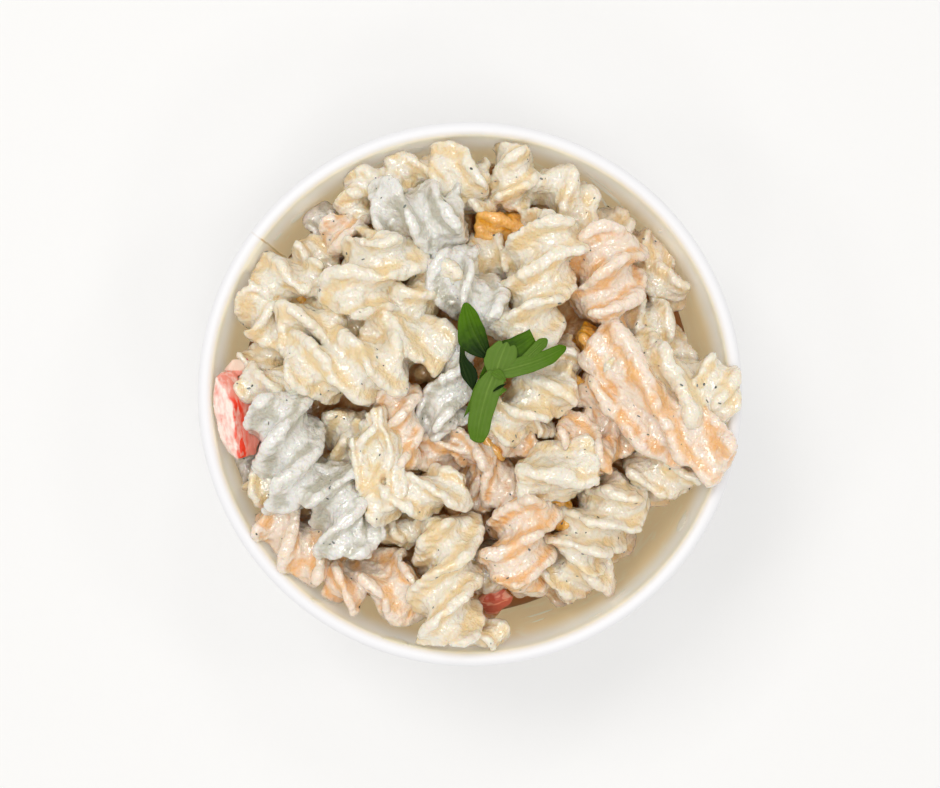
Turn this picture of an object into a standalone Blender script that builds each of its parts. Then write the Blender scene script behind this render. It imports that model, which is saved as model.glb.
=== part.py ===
"""Creamy pasta salad in a round paper bowl, with two torn crab sticks and a parsley sprig.

Metres, +Z up, origin at the middle of the ring that the bowl stands on.
"""

import math
from collections import namedtuple

import bmesh
import bpy
from mathutils import Matrix, Vector
from mathutils.bvhtree import BVHTree

MM = 0.001

# Paper bowl: a 115 mm rim, a tapered wall with a rolled lip, and a floor set up inside a skirt.
RIM_RADIUS = 57.5 * MM
BASE_RADIUS = 46.0 * MM
BOWL_HEIGHT = 68.0 * MM
WALL = 0.6 * MM
CURL_RADIUS = 1.6 * MM
SKIRT_HEIGHT = 6.0 * MM
BOWL_STEPS = 48

# What touches keeps this clear of its neighbour.
GAP = 0.4 * MM

# Rotini: three blades wound round one axis.
PITCH = 19.0 * MM
BLADES = 3
VALLEY = 0.6            # radius between two blades, as a share of the tip's
TWIST_STEP = math.radians(46)

# The bare core of the heap, measured down from the rim, and how far its top sits off the axis.
CORE_EDGE_DROP = 19.5 * MM
CORE_TOP_DROP = 3.5 * MM
CORE_LEAN = (-5.0 * MM, 6.0 * MM)

# At the lower right of the view the salad stands lower against the wall.
DIP_HEADING = math.radians(-42)
DIP_DEPTH = 12.0 * MM

LEAF_THICK = 0.45 * MM

# One piece of pasta: the two ends of its axis in millimetres, with z from the rim, its diameter in
# millimetres, the turn of its blades in degrees, and how far its middle bows to the left.
Rotini = namedtuple("Rotini", "start end across turn bow", defaults=(0,))

PLAIN = [
    Rotini((-17, 47.0, -4.5), (6, 46.8, -3.5), 12.5, 40),
    Rotini((10.6, 52.5, -3.0), (7, 40.0, -3.5), 11, 10),
    Rotini((17.5, 47.5, -5.5), (25, 34.5, -8), 12, 70),
    Rotini((18.5, 37.0, 0.0), (10.5, 9.5, 1.5), 15, 0),
    Rotini((-1, 31.0, -8.5), (11, 25.5, -8), 12, 20),
    Rotini((3, -5.5, 1.0), (21.5, 1.5, 1.0), 11.5, 50),
    Rotini((11, 4.0, -2.0), (23, 8.5, -3.0), 9, 0),
    Rotini((-16.5, 33.5, 1.5), (-24.5, 16.5, 1.5), 17, 15),
    Rotini((-26.5, 40.5, -6.5), (-17.5, 43.0, -4.5), 12.5, 80, 3.5),
    Rotini((-37.5, 31.0, -7.0), (-28, 28.0, -6.5), 8.5, 0),
    Rotini((-46, 24.5, -5.5), (-30, 24.5, -3.0), 11.5, 30),
    Rotini((-43.5, 22.0, -5.0), (-43.5, 10.5, -5.0), 11.5, 60),
    Rotini((-40, 14.0, -2.5), (-26, 14.0, -1.5), 13, 90),
    Rotini((-17, 17.5, -0.5), (-1, 25.0, -0.5), 11, 45),
    Rotini((-21, 14.5, 0.5), (-4, 9.0, 0.5), 12.5, 100),
    Rotini((-38, 4.5, 1.5), (-13, 7.0, 2.5), 15, 25),
    Rotini((-50, 6.5, -7.5), (-38, 9.5, -8.0), 8, 0),
    Rotini((-48, 3.5, -5.0), (-36, -1.0, -4.0), 8, 55),
    Rotini((-46.5, -17.0, -5.0), (-38.5, -21.5, -5.0), 10, 35),
    Rotini((-5.5, -26.0, -1.5), (-4.0, -52.5, -1.0), 15, 20),
    Rotini((0, -50.0, -3.0), (7, -51.5, -2.5), 7, 0),
    Rotini((-20.5, -6.0, 0.5), (-19, -24.0, 0.5), 10, 0),
    Rotini((-22, -22.5, 0.5), (-1, -19.5, 0.0), 10, 75),
    Rotini((10, -18.0, 2.5), (26, -15.5, 2.5), 12, 110),
    Rotini((32.5, -19.5, -3.5), (20.5, -34.0, -5.0), 15, 10),
    Rotini((29.0, -38.0, -9.5), (14, -40.0, -10.0), 9.5, 45),
    Rotini((34.5, -18.5, -5.0), (47.5, -17.0, -5.0), 9.5, 0),
    Rotini((32.5, 9.5, -4.0), (53, -6.5, -0.5), 14, 60),
    Rotini((49.5, 7.0, -2.0), (53.5, -4.0, 1.0), 11, 15),
    Rotini((33.5, 18.5, -8.5), (42.5, 10.5, -8.5), 11.5, 95),
    Rotini((37, 24.0, -10.5), (46, 24.0, -10.0), 10, 50),
    Rotini((36, 34.0, -11.0), (43.5, 27.0, -10.5), 8, 0),
    Rotini((27.5, 40.0, -12.0), (33.5, 33.5, -11.5), 9, 30),
    Rotini((42, 13.0, -14.0), (48, 5.5, -13.5), 8, 0),
    Rotini((1, -33.0, -9.0), (4.5, -43.0, -11.5), 9, 20),
    Rotini((-26, -3.5, -5.5), (-26, -16.0, -6.0), 10, 65),
    Rotini((39, -21.5, -10.5), (46, -21.0, -10.5), 7, 0),
]
TOMATO = [
    Rotini((25.5, 6.5, 0.5), (52.0, -12.0, 4.0), 15, 75, 2.0),
    Rotini((27, -0.5, -1.5), (46, -12.0, 0.0), 11, 20),
    Rotini((30.5, 34.5, -2.5), (27, 15.5, -2.0), 15.5, 35),
    Rotini((3, 36.0, -11.0), (13, 34.5, -10.0), 10, 0),
    Rotini((-27, 38.0, -5.5), (-26, 29.5, -5.0), 12, 65),
    Rotini((-43.5, -24.5, -5.0), (-31.5, -39.0, -5.0), 13.5, 30),
    Rotini((-30, -38.5, -5.5), (-22, -42.0, -4.5), 11, 100),
    Rotini((-21.5, -41.0, -5.0), (-11, -40.0, -5.0), 15, 0),
    Rotini((-15.5, 2.0, -1.5), (-14, -15.5, 0.5), 9, 50),
    Rotini((-14, -15.0, -5.0), (-2, -9.5, -5.5), 10, 20),
    Rotini((-4, -10.5, -4.0), (5, -12.0, -4.0), 9.5, 85),
    Rotini((7, -5.0, -3.5), (10.5, -13.5, -3.5), 7.5, 0),
    Rotini((13.5, -22.0, -1.5), (8.5, -40.0, -3.0), 15, 40),
    Rotini((18, -8.5, 0.0), (29.5, -14.0, -0.5), 11, 10),
    Rotini((3, -16.0, -8.5), (2, -25.0, -8.5), 8, 0),
    Rotini((25, 13.5, -9.0), (30, 2.0, -8.0), 9, 40),
]
SPINACH = [
    Rotini((-20, 38.5, -1.0), (-1.5, 36.5, -1.0), 15, 55),
    Rotini((-5.5, 29.0, -2.0), (5, 14.5, 0.0), 13.5, 20),
    Rotini((-3, 11.5, -4.0), (-4.5, -6.5, -3.5), 9.5, 70),
    Rotini((-9.5, 0.5, -5.0), (-7.5, -9.5, -4.5), 9, 15),
    Rotini((-40.5, 0.0, 0.0), (-34.5, -23.5, 0.5), 15.5, 45),
    Rotini((-27.5, -14.5, -1.0), (-27, -34.5, -0.5), 12.5, 85),
    Rotini((-25, -26.0, -2.0), (-19, -31.5, -1.5), 10, 0),
    Rotini((-34.5, 36.0, -11.0), (-28, 37.5, -10.5), 9, 30),
    Rotini((-47.5, -9.0, -11.0), (-48, -20.0, -11.0), 6, 0),
]

# Torn crab sticks: middle, size along its length, across and up in millimetres, heading in degrees.
Chunk = namedtuple("Chunk", "middle size heading lean")
CRAB_STICKS = {
    "crab_stick_side": Chunk((-49.2, -4.4, -2.6), (18.5, 8.0, 6.4), 97, 0),
    "crab_stick_low": Chunk((5.2, -42.6, -13.0), (8.5, 7.0, 5.0), 30, 0),
}

# Parsley: each lobe's base and tip in millimetres from the middle of the sprig, half width, and how
# far its tip drops.
Lobe = namedtuple("Lobe", "base tip half drop")
SPRIG_MIDDLE = (4.2, 5.6)
SPRIG_LEAN = math.radians(-8)     # its right side lies higher
LOBES = [
    Lobe((0.3, 1.0), (-5.4, 13.2), 3.1, 0.6),
    Lobe((0.2, 1.4), (8.4, 6.6), 2.1, 1.2),
    Lobe((-0.8, -0.4), (15.6, 4.2), 2.3, -0.4),
    Lobe((3.2, 0.2), (11.0, 6.0), 1.5, -0.2),
    Lobe((-0.6, -0.6), (3.6, 4.8), 2.4, -0.5),
    Lobe((1.2, -0.4), (-4.0, -15.6), 2.9, 0.4),
    Lobe((-0.6, -2.6), (-5.8, -9.6), 1.2, 0.9),
    Lobe((-3.0, 4.4), (-4.4, -4.4), 1.3, 2.6),
]


def clear_scene():
    for old in list(bpy.data.objects):
        bpy.data.objects.remove(old, do_unlink=True)


def make_collection(name):
    made = bpy.data.collections.new(name)
    bpy.context.scene.collection.children.link(made)
    return made


def make_material(name, colour, roughness):
    material = bpy.data.materials.new(name)
    material.use_nodes = True
    shader = material.node_tree.nodes["Principled BSDF"]
    shader.inputs["Base Color"].default_value = (*colour, 1.0)
    shader.inputs["Roughness"].default_value = roughness
    return material


def new_object(name, mesh, collection, material=None):
    made = bpy.data.objects.new(name, mesh)
    collection.objects.link(made)
    if material:
        mesh.materials.clear()
        mesh.materials.append(material)
    return made


def remove_collection(collection):
    for member in list(collection.objects):
        bpy.data.objects.remove(member, do_unlink=True)
    bpy.data.collections.remove(collection)


# Wall lines of the bowl.

CURL_CENTRE = (RIM_RADIUS - CURL_RADIUS, BOWL_HEIGHT - CURL_RADIUS)
WALL_TOP_RADIUS = RIM_RADIUS - 2 * CURL_RADIUS + WALL
TAPER = (WALL_TOP_RADIUS - BASE_RADIUS) / (BOWL_HEIGHT - CURL_RADIUS)


def wall_outside(z):
    return BASE_RADIUS + TAPER * z


def wall_inside(z):
    return wall_outside(z) - WALL


def curl_arc(radius, first, last, count):
    """Points on a circle round the middle of the rolled lip; angles in degrees from +X."""
    points = []
    for i in range(count):
        angle = math.radians(first + (last - first) * i / (count - 1))
        points.append((CURL_CENTRE[0] + radius * math.cos(angle), CURL_CENTRE[1] + radius * math.sin(angle)))
    return points


def turned(name, profile, steps, collection, material=None):
    """A solid turned from a profile in the XZ plane with the Screw modifier."""
    mesh = bpy.data.meshes.new(name)
    edges = [(i, i + 1) for i in range(len(profile) - 1)]
    mesh.from_pydata([(radius, 0.0, z) for radius, z in profile], edges, [])
    made = new_object(name, mesh, collection, material)
    screw = made.modifiers.new("Turn", "SCREW")
    screw.steps = steps
    screw.render_steps = steps
    screw.use_merge_vertices = True
    screw.merge_threshold = 0.00001
    screw.use_normal_calculate = False
    return made


def make_bowl(collection, material):
    """Runs from the middle of the floor up the inside, over the lip and down the outside."""
    floor = SKIRT_HEIGHT + WALL
    corner = 1.2 * MM
    profile = [
        (0.0, floor),
        (wall_inside(floor) - corner, floor),
        (wall_inside(floor + corner), floor + corner),
        (wall_inside(BOWL_HEIGHT * 0.55), BOWL_HEIGHT * 0.55),
        (wall_inside(CURL_CENTRE[1]), CURL_CENTRE[1]),
    ]
    profile += curl_arc(CURL_RADIUS, 165, -120, 10)
    under_lip = CURL_CENTRE[1] - CURL_RADIUS * 1.5
    profile += [
        (wall_outside(under_lip), under_lip),
        (wall_outside(SKIRT_HEIGHT), SKIRT_HEIGHT),
        (wall_outside(0.0), 0.0),
        (wall_outside(0.0) - 2 * WALL, 0.0),
        (wall_outside(SKIRT_HEIGHT) - 2 * WALL, SKIRT_HEIGHT),
        (0.0, SKIRT_HEIGHT),
    ]
    bowl = turned("bowl", profile, BOWL_STEPS, collection, material)
    return bowl


def room_for_food(name, collection):
    """The space inside the bowl and over its lip, a gap clear of the paper all round."""
    floor = SKIRT_HEIGHT + WALL + GAP
    high = BOWL_HEIGHT + 40 * MM
    over_lip = curl_arc(CURL_RADIUS + GAP, 176, 60, 7)
    profile = [(0.0, high), (RIM_RADIUS - GAP, high), (RIM_RADIUS - GAP, over_lip[-1][1])]
    profile += reversed(over_lip)
    profile += [
        (wall_inside(BOWL_HEIGHT * 0.6) - GAP, BOWL_HEIGHT * 0.6),
        (wall_inside(floor) - 2 * MM, floor + 0.6 * MM),
        (wall_inside(floor) - 4 * MM, floor),
        (0.0, floor),
    ]
    return turned(name, profile, BOWL_STEPS, collection)


def make_core(collection):
    """Packed salad under the pieces that show: a low dome that keeps to the wall."""
    floor = SKIRT_HEIGHT + WALL
    edge = BOWL_HEIGHT - CORE_EDGE_DROP
    top = BOWL_HEIGHT - CORE_TOP_DROP
    rings = 4
    profile = []
    for i in range(rings + 1):
        share = i / rings
        reach = (wall_inside(edge) + 1 * MM) * math.sin(share * math.pi / 2)
        profile.append((reach, edge + (top - edge) * math.cos(share * math.pi / 2)))
    profile += [(wall_inside(floor) + 1 * MM, floor), (0.0, floor - 1 * MM)]
    core = turned("core", profile, 20, collection)
    bake(core)
    for vert in core.data.vertices:
        height = max(0.0, (vert.co.z - edge) / (top - edge))
        vert.co += Vector((*CORE_LEAN, 0.0)) * height
        if vert.co.z > edge - DIP_DEPTH:
            facing = max(0.0, math.cos(math.atan2(vert.co.y, vert.co.x) - DIP_HEADING))
            vert.co.z -= DIP_DEPTH * facing**2 * (math.hypot(vert.co.x, vert.co.y) / RIM_RADIUS) ** 3
    return core


def blade_section(name, collection, across):
    """Cross-section of a rotini of this diameter: a blunt tip for each blade and a valley between."""
    radius = across / 2
    curve = bpy.data.curves.new(name, "CURVE")
    curve.dimensions = "2D"
    spline = curve.splines.new("POLY")
    spline.points.add(2 * BLADES - 1)
    spline.use_cyclic_u = True
    for i, point in enumerate(spline.points):
        reach = radius if i % 2 == 0 else radius * VALLEY
        angle = math.pi * i / BLADES
        point.co = (reach * math.cos(angle), reach * math.sin(angle), 0.0, 1.0)
    return new_object(name, curve, collection)


def axis_point(piece, share):
    """A point on the bowed axis of a piece, in metres."""
    start, end = Vector(piece.start), Vector(piece.end)
    run = end - start
    left = Vector((-run.y, run.x, 0.0)).normalized()
    point = start.lerp(end, share) + left * piece.bow * math.sin(math.pi * share)
    return point * MM + Vector((0.0, 0.0, BOWL_HEIGHT))


def make_rotini(name, piece, collection):
    """A curve along the axis, wound by the tilt of its points, turned into a mesh with welded caps."""
    length = (axis_point(piece, 1) - axis_point(piece, 0)).length
    turns = 2 * math.pi * length / PITCH
    count = max(5, round(turns / TWIST_STEP) + 1)
    section = blade_section(name + "_section", collection, piece.across * MM)
    curve = bpy.data.curves.new(name, "CURVE")
    curve.dimensions = "3D"
    curve.bevel_mode = "OBJECT"
    curve.bevel_object = section
    curve.use_fill_caps = True
    spline = curve.splines.new("POLY")
    spline.points.add(count - 1)
    for i, point in enumerate(spline.points):
        share = i / (count - 1)
        end_share = min(share, 1 - share)
        point.co = (*axis_point(piece, share), 1.0)
        point.tilt = math.radians(piece.turn) + turns * share
        point.radius = 0.86 if end_share == 0 else 1.0
    guide = new_object(name, curve, collection)
    bpy.context.view_layer.update()
    graph = bpy.context.evaluated_depsgraph_get()
    mesh = bpy.data.meshes.new_from_object(guide.evaluated_get(graph))
    work = bmesh.new()
    work.from_mesh(mesh)
    bmesh.ops.remove_doubles(work, verts=work.verts, dist=0.000001)
    bmesh.ops.triangulate(work, faces=work.faces, quad_method="SHORT_EDGE")
    bmesh.ops.recalc_face_normals(work, faces=work.faces)
    work.to_mesh(mesh)
    work.free()
    solid = bpy.data.objects.new(name + "_solid", mesh)
    solid.matrix_world = guide.matrix_world
    collection.objects.link(solid)
    bpy.data.objects.remove(guide, do_unlink=True)
    bpy.data.objects.remove(section, do_unlink=True)
    return solid


def apply_boolean(target, operation, other, solver="MANIFOLD"):
    boolean = target.modifiers.new("Join", "BOOLEAN")
    boolean.operation = operation
    boolean.solver = solver
    if isinstance(other, bpy.types.Collection):
        boolean.operand_type = "COLLECTION"
        boolean.collection = other
    else:
        boolean.object = other
    bake(target)


def bake(target):
    """Puts the result of an object's modifiers into its mesh."""
    bpy.context.view_layer.update()
    graph = bpy.context.evaluated_depsgraph_get()
    mesh = bpy.data.meshes.new_from_object(target.evaluated_get(graph))
    target.modifiers.clear()
    target.data = mesh


def keep_largest_shell(target):
    """Drops loose scraps, and the inner shells round hollows that fusing has sealed."""
    work = bmesh.new()
    work.from_mesh(target.data)
    bmesh.ops.triangulate(work, faces=work.faces)
    work.faces.ensure_lookup_table()
    left = set(work.faces)
    shells = []
    while left:
        shell, edge_of = set(), [left.pop()]
        while edge_of:
            face = edge_of.pop()
            shell.add(face)
            for edge in face.edges:
                for other in edge.link_faces:
                    if other in left:
                        left.discard(other)
                        edge_of.append(other)
        shells.append(shell)
    shells.sort(key=len)
    scraps = [face for shell in shells[:-1] for face in shell]
    bmesh.ops.delete(work, geom=scraps, context="FACES")
    loose = [vert for vert in work.verts if not vert.link_faces]
    bmesh.ops.delete(work, geom=loose, context="VERTS")
    work.to_mesh(target.data)
    work.free()


def make_chunk(name, chunk, grow, collection, material=None):
    """A torn stick: a box with its long edges bevelled, squeezed and skewed from end to end."""
    bpy.ops.mesh.primitive_cube_add(size=1.0)
    made = bpy.context.active_object
    made.name = name
    made.data.name = name
    for old in list(made.users_collection):
        old.objects.unlink(made)
    collection.objects.link(made)
    work = bmesh.new()
    work.from_mesh(made.data)
    bmesh.ops.subdivide_edges(work, edges=work.edges, cuts=3, use_grid_fill=True)
    size = Vector(chunk.size) * MM
    for vert in work.verts:
        along, side, up = vert.co
        taper = 1.0 - 0.34 * (2 * along) ** 2 + 0.06 * math.sin(9 * along)
        round_off = 1.0 - 0.28 * (2 * side) ** 2 * (2 * up) ** 2
        ragged = 1.0 + 0.10 * math.sin(7 * side + 5 * up) * abs(2 * along)
        vert.co = Vector((
            along * size.x * ragged + math.copysign(grow, along),
            side * size.y * taper * round_off + math.copysign(grow, side) + 0.9 * MM * math.sin(3 * along),
            up * size.z * taper * round_off + math.copysign(grow, up),
        ))
    bmesh.ops.triangulate(work, faces=work.faces)
    work.to_mesh(made.data)
    work.free()
    made.location = Vector(chunk.middle) * MM + Vector((0.0, 0.0, BOWL_HEIGHT))
    made.rotation_euler = (0.0, math.radians(chunk.lean), math.radians(chunk.heading))
    made.data.materials.clear()
    if material:
        made.data.materials.append(material)
    bpy.context.view_layer.update()
    return made


def make_heap(collection, material, room, cutters):
    """Core and pieces joined by one union, kept inside the bowl and clear of the crab sticks."""
    pieces = make_collection("heap pieces")
    core = make_core(collection)
    for i, piece in enumerate(PLAIN + TOMATO + SPINACH):
        make_rotini(f"rotini_{i:02d}", piece, pieces)
    apply_boolean(core, "UNION", pieces)
    remove_collection(pieces)
    apply_boolean(core, "INTERSECT", room)
    for name, chunk in CRAB_STICKS.items():
        cutter = make_chunk("room_" + name, chunk, GAP, cutters)
        apply_boolean(core, "DIFFERENCE", cutter)
    keep_largest_shell(core)
    core.name = "pasta_heap"
    core.data.name = "pasta_heap"
    core.data.materials.clear()
    core.data.materials.append(material)
    return core


def make_lobe(name, lobe, lift, collection):
    """One lobe of a leaf: a thin solid, arched across and waved along, with both faces split alike."""
    base, tip = Vector((*lobe.base, 0.0)) * MM, Vector((*lobe.tip, 0.0)) * MM
    along = tip - base
    side = Vector((-along.y, along.x, 0.0)).normalized()
    stations = 5
    work = bmesh.new()
    rows = []
    for i in range(stations + 1):
        share = i / stations
        width = lobe.half * MM * math.sin(math.pi * min(0.94, 0.16 + 0.80 * share)) ** 0.8
        width *= 1.0 + 0.10 * math.cos(2 * math.pi * share * 3)
        rib = base + along * share
        rib.z = lift - lobe.drop * MM * share**2 + 0.25 * MM * math.sin(5 * share)
        arch = width * 0.22
        row = []
        for across in (-1.0, 0.0, 1.0):
            point = rib + side * width * across - Vector((0.0, 0.0, arch * across**2))
            row.append(tuple(work.verts.new(point + Vector((0.0, 0.0, h))) for h in (0.0, LEAF_THICK)))
        rows.append(row)
    for low, high in zip(rows, rows[1:]):
        for k in range(2):
            for face, flip in ((1, False), (0, True)):
                a, b, c, d = low[k][face], high[k][face], high[k + 1][face], low[k + 1][face]
                for corners in ((a, b, c), (a, c, d)):
                    work.faces.new(corners[::-1] if flip else corners)
        for k in (0, 2):
            work.faces.new((low[k][0], low[k][1], high[k][1], high[k][0]))
    for row in (rows[0], rows[-1]):
        for k in range(2):
            work.faces.new((row[k][0], row[k][1], row[k + 1][1], row[k + 1][0]))
    bmesh.ops.triangulate(work, faces=work.faces)
    bmesh.ops.recalc_face_normals(work, faces=work.faces)
    mesh = bpy.data.meshes.new(name)
    work.to_mesh(mesh)
    work.free()
    return new_object(name, mesh, collection)


def lowest_gap(mesh, tree):
    """How far a mesh can drop before one of its points meets the heap."""
    gaps = []
    for vert in mesh.vertices:
        hit = tree.ray_cast(vert.co + Vector((0.0, 0.0, 30 * MM)), Vector((0.0, 0.0, -1.0)))
        if hit[0] is not None:
            gaps.append(vert.co.z - hit[0].z)
    return min(gaps)


def make_parsley(collection, material, heap):
    """Lobes joined to one leaf with a stub of stalk, set down on the heap."""
    lobes = make_collection("lobes")
    bpy.ops.mesh.primitive_cylinder_add(vertices=8, radius=0.75 * MM, depth=3.4 * MM, end_fill_type="TRIFAN")
    stalk = bpy.context.active_object
    for old in list(stalk.users_collection):
        old.objects.unlink(stalk)
    collection.objects.link(stalk)
    stalk.name = "parsley"
    stalk.data.transform(stalk.matrix_world)
    for i, lobe in enumerate(LOBES):
        make_lobe(f"lobe_{i}", lobe, (0.12 * i - 0.4) * MM, lobes)
    apply_boolean(stalk, "UNION", lobes, "EXACT")
    remove_collection(lobes)
    keep_largest_shell(stalk)
    middle = Vector((*SPRIG_MIDDLE, 0.0)) * MM + Vector((0.0, 0.0, BOWL_HEIGHT + 30 * MM))
    stalk.data.transform(Matrix.Translation(middle) @ Matrix.Rotation(SPRIG_LEAN, 4, "Y"))
    tree = BVHTree.FromPolygons([v.co for v in heap.data.vertices], [p.vertices for p in heap.data.polygons])
    drop = lowest_gap(stalk.data, tree) - GAP
    for vert in stalk.data.vertices:
        vert.co.z -= drop
    stalk.data.materials.clear()
    stalk.data.materials.append(material)
    return stalk


def main():
    clear_scene()
    salad = make_collection("pasta salad")
    cutters = make_collection("cutters")
    paper = make_material("coated paper", (0.90, 0.88, 0.83), 0.45)
    dressed = make_material("dressed pasta", (0.82, 0.74, 0.58), 0.35)
    crab = make_material("crab stick", (0.84, 0.30, 0.22), 0.4)
    leaf = make_material("parsley leaf", (0.10, 0.20, 0.02), 0.5)
    make_bowl(salad, paper)
    room = room_for_food("room", cutters)
    bake(room)
    heap = make_heap(salad, dressed, room, cutters)
    for name, chunk in CRAB_STICKS.items():
        stick = make_chunk(name, chunk, 0.0, salad, crab)
        apply_boolean(stick, "INTERSECT", room)
    make_parsley(salad, leaf, heap)
    remove_collection(cutters)


main()
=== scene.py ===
# Pasta salad in a paper bowl: the looks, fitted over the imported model.
import math
import random

import bmesh
import bpy
from mathutils import Matrix, Vector
from mathutils import noise as mathNoise


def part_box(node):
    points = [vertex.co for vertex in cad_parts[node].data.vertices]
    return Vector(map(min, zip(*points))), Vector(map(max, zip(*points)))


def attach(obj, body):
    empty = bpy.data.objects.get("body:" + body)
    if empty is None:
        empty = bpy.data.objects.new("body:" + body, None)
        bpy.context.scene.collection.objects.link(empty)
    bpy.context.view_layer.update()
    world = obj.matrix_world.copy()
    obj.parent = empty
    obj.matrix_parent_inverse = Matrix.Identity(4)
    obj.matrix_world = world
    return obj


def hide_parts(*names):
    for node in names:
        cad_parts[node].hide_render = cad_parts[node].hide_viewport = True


mm = 0.001
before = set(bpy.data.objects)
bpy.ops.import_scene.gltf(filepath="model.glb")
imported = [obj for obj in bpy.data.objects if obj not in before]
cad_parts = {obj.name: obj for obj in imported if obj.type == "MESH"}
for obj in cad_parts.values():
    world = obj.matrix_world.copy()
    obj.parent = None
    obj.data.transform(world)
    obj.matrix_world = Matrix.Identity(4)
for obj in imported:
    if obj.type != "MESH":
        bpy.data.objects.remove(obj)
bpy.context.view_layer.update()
bowlLow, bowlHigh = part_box("bowl")
rimZ = bowlHigh.z
print("frame loaded, rim at", round(rimZ / mm, 2), "mm")

# The camera looks straight down: its height over the rim, and how wide the picture is at the rim
lookFrom = {"height": 330 * mm, "sensor": 36.0, "rimPlaneWidth": 197.6 * mm}


# Small helpers for node trees and finished pieces

def put(tree, kind, inputs=None, **settings):
    made = tree.nodes.new(kind)
    for name, value in settings.items():
        setattr(made, name, value)
    for key, value in (inputs or {}).items():
        if isinstance(value, bpy.types.NodeSocket):
            tree.links.new(value, made.inputs[key])
        else:
            made.inputs[key].default_value = value
    return made


def calc(tree, operation, *values, clamp=False):
    made = put(tree, "ShaderNodeMath", dict(enumerate(values)), operation=operation, use_clamp=clamp)
    return made.outputs[0]


def plus(tree, first, second, clamp=False):
    return calc(tree, "ADD", first, second, clamp=clamp)


def minus(tree, first, second):
    return calc(tree, "SUBTRACT", first, second)


def times(tree, first, second, clamp=False):
    return calc(tree, "MULTIPLY", first, second, clamp=clamp)


def timesPlus(tree, value, factor, more, clamp=False):
    return calc(tree, "MULTIPLY_ADD", value, factor, more, clamp=clamp)


def outFrom(tree, x, y):
    return calc(tree, "SQRT", plus(tree, times(tree, x, x), times(tree, y, y)))  # from the bowl's axis


def vector(tree, operation, inputs, output=0):
    return put(tree, "ShaderNodeVectorMath", inputs, operation=operation).outputs[output]


def stretch(tree, value, size):
    return vector(tree, "SCALE", {0: value, "Scale": size})


def smoothStep(tree, value, low, high, first=0.0, last=1.0):
    ramp = put(tree, "ShaderNodeMapRange", {"Value": value, "From Min": low, "From Max": high,
                                            "To Min": first, "To Max": last}, interpolation_type="SMOOTHSTEP")
    return ramp.outputs[0]


def noiseField(tree, where, size, seed, detail=2.0, distortion=0.0):
    linked = isinstance(size, bpy.types.NodeSocket)
    inputs = {"Vector": where, "W": seed, "Scale": calc(tree, "DIVIDE", 1.0, size) if linked else 1.0 / size,
              "Detail": detail, "Distortion": distortion}
    return put(tree, "ShaderNodeTexNoise", inputs, noise_dimensions="4D").outputs[0]


def mixed(tree, share, first, second):
    return put(tree, "ShaderNodeMix", {"Factor": share, 6: first, 7: second}, data_type="RGBA").outputs[2]


def bumped(tree, height, distance, strength=1.0, over=None):
    inputs = {"Height": height, "Distance": distance, "Strength": strength}
    if over:
        inputs["Normal"] = over
    return put(tree, "ShaderNodeBump", inputs).outputs[0]


def stored(tree, geometry, name, value, kind="FLOAT", domain="POINT"):
    inputs = {"Geometry": geometry, "Name": name, "Value": value}
    return put(tree, "GeometryNodeStoreNamedAttribute", inputs, data_type=kind, domain=domain).outputs[0]


def recalled(tree, name, kind="FLOAT"):
    return put(tree, "GeometryNodeInputNamedAttribute", {"Name": name}, data_type=kind).outputs[0]


def moved(tree, geometry, how, amount):
    # how is Position or Offset
    return put(tree, "GeometryNodeSetPosition", {"Geometry": geometry, how: amount}).outputs[0]


def resampled(tree, curve, how, amount):
    # how is Count or Length
    inputs = {"Curve": curve, how: amount}
    return put(tree, "GeometryNodeResampleCurve", inputs, mode=how.upper()).outputs[0]


def newTree(name, sizes, others):
    # a tree with an input for each size, and its open ends: what it asks for and where it ends
    tree = bpy.data.node_groups.new(name, "GeometryNodeTree")
    tree.interface.new_socket("Geometry", in_out="INPUT", socket_type="NodeSocketGeometry")
    for label, value in sizes.items():
        kind = "NodeSocketInt" if isinstance(value, int) else "NodeSocketFloat"
        tree.interface.new_socket(label, in_out="INPUT", socket_type=kind).default_value = value
    for label, kind in others.items():
        tree.interface.new_socket(label, in_out="INPUT", socket_type="NodeSocket" + kind)
    tree.interface.new_socket("Geometry", in_out="OUTPUT", socket_type="NodeSocketGeometry")
    return tree, tree.nodes.new("NodeGroupInput").outputs, tree.nodes.new("NodeGroupOutput").inputs[0]


def finishTree(tree, geometry, ask, end):
    real = put(tree, "GeometryNodeRealizeInstances", {"Geometry": geometry}).outputs[0]
    painted = put(tree, "GeometryNodeSetMaterial", {"Geometry": real, "Material": ask["Material"]})
    tree.links.new(painted.outputs[0], end)
    return tree


def plainMesh(carrier):
    # the carrier as its modifiers leave it
    bpy.context.view_layer.update()
    graph = bpy.context.evaluated_depsgraph_get()
    mesh = bpy.data.meshes.new_from_object(carrier.evaluated_get(graph), depsgraph=graph)
    carrier.modifiers.clear()
    return mesh


def grow(carrier, tree, values):
    modifier = carrier.modifiers.new("Grow", "NODES")
    modifier.node_group = tree
    for socket in tree.interface.items_tree:
        if socket.in_out == "INPUT" and socket.name in values:
            modifier[socket.identifier] = values[socket.name]
    return plainMesh(carrier)


def evenMesh(carrier, voxel):
    remesh = carrier.modifiers.new("Even", "REMESH")
    remesh.mode = "VOXEL"
    remesh.voxel_size = voxel
    return plainMesh(carrier)


def addObject(name, data):
    made = bpy.data.objects.new(name, data)
    bpy.context.scene.collection.objects.link(made)
    return made


def addPiece(name, mesh, replacing=()):
    mesh.name = name
    piece = addObject(name, mesh)
    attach(piece, "root")
    for node in replacing:
        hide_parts(node)
    print(name, len(mesh.polygons), "faces")
    return piece


def fromSrgb(red, green, blue):
    def linear(value):
        value /= 255
        return value / 12.92 if value <= 0.04045 else ((value + 0.055) / 1.055) ** 2.4
    return (linear(red), linear(green), linear(blue), 1.0)


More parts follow.
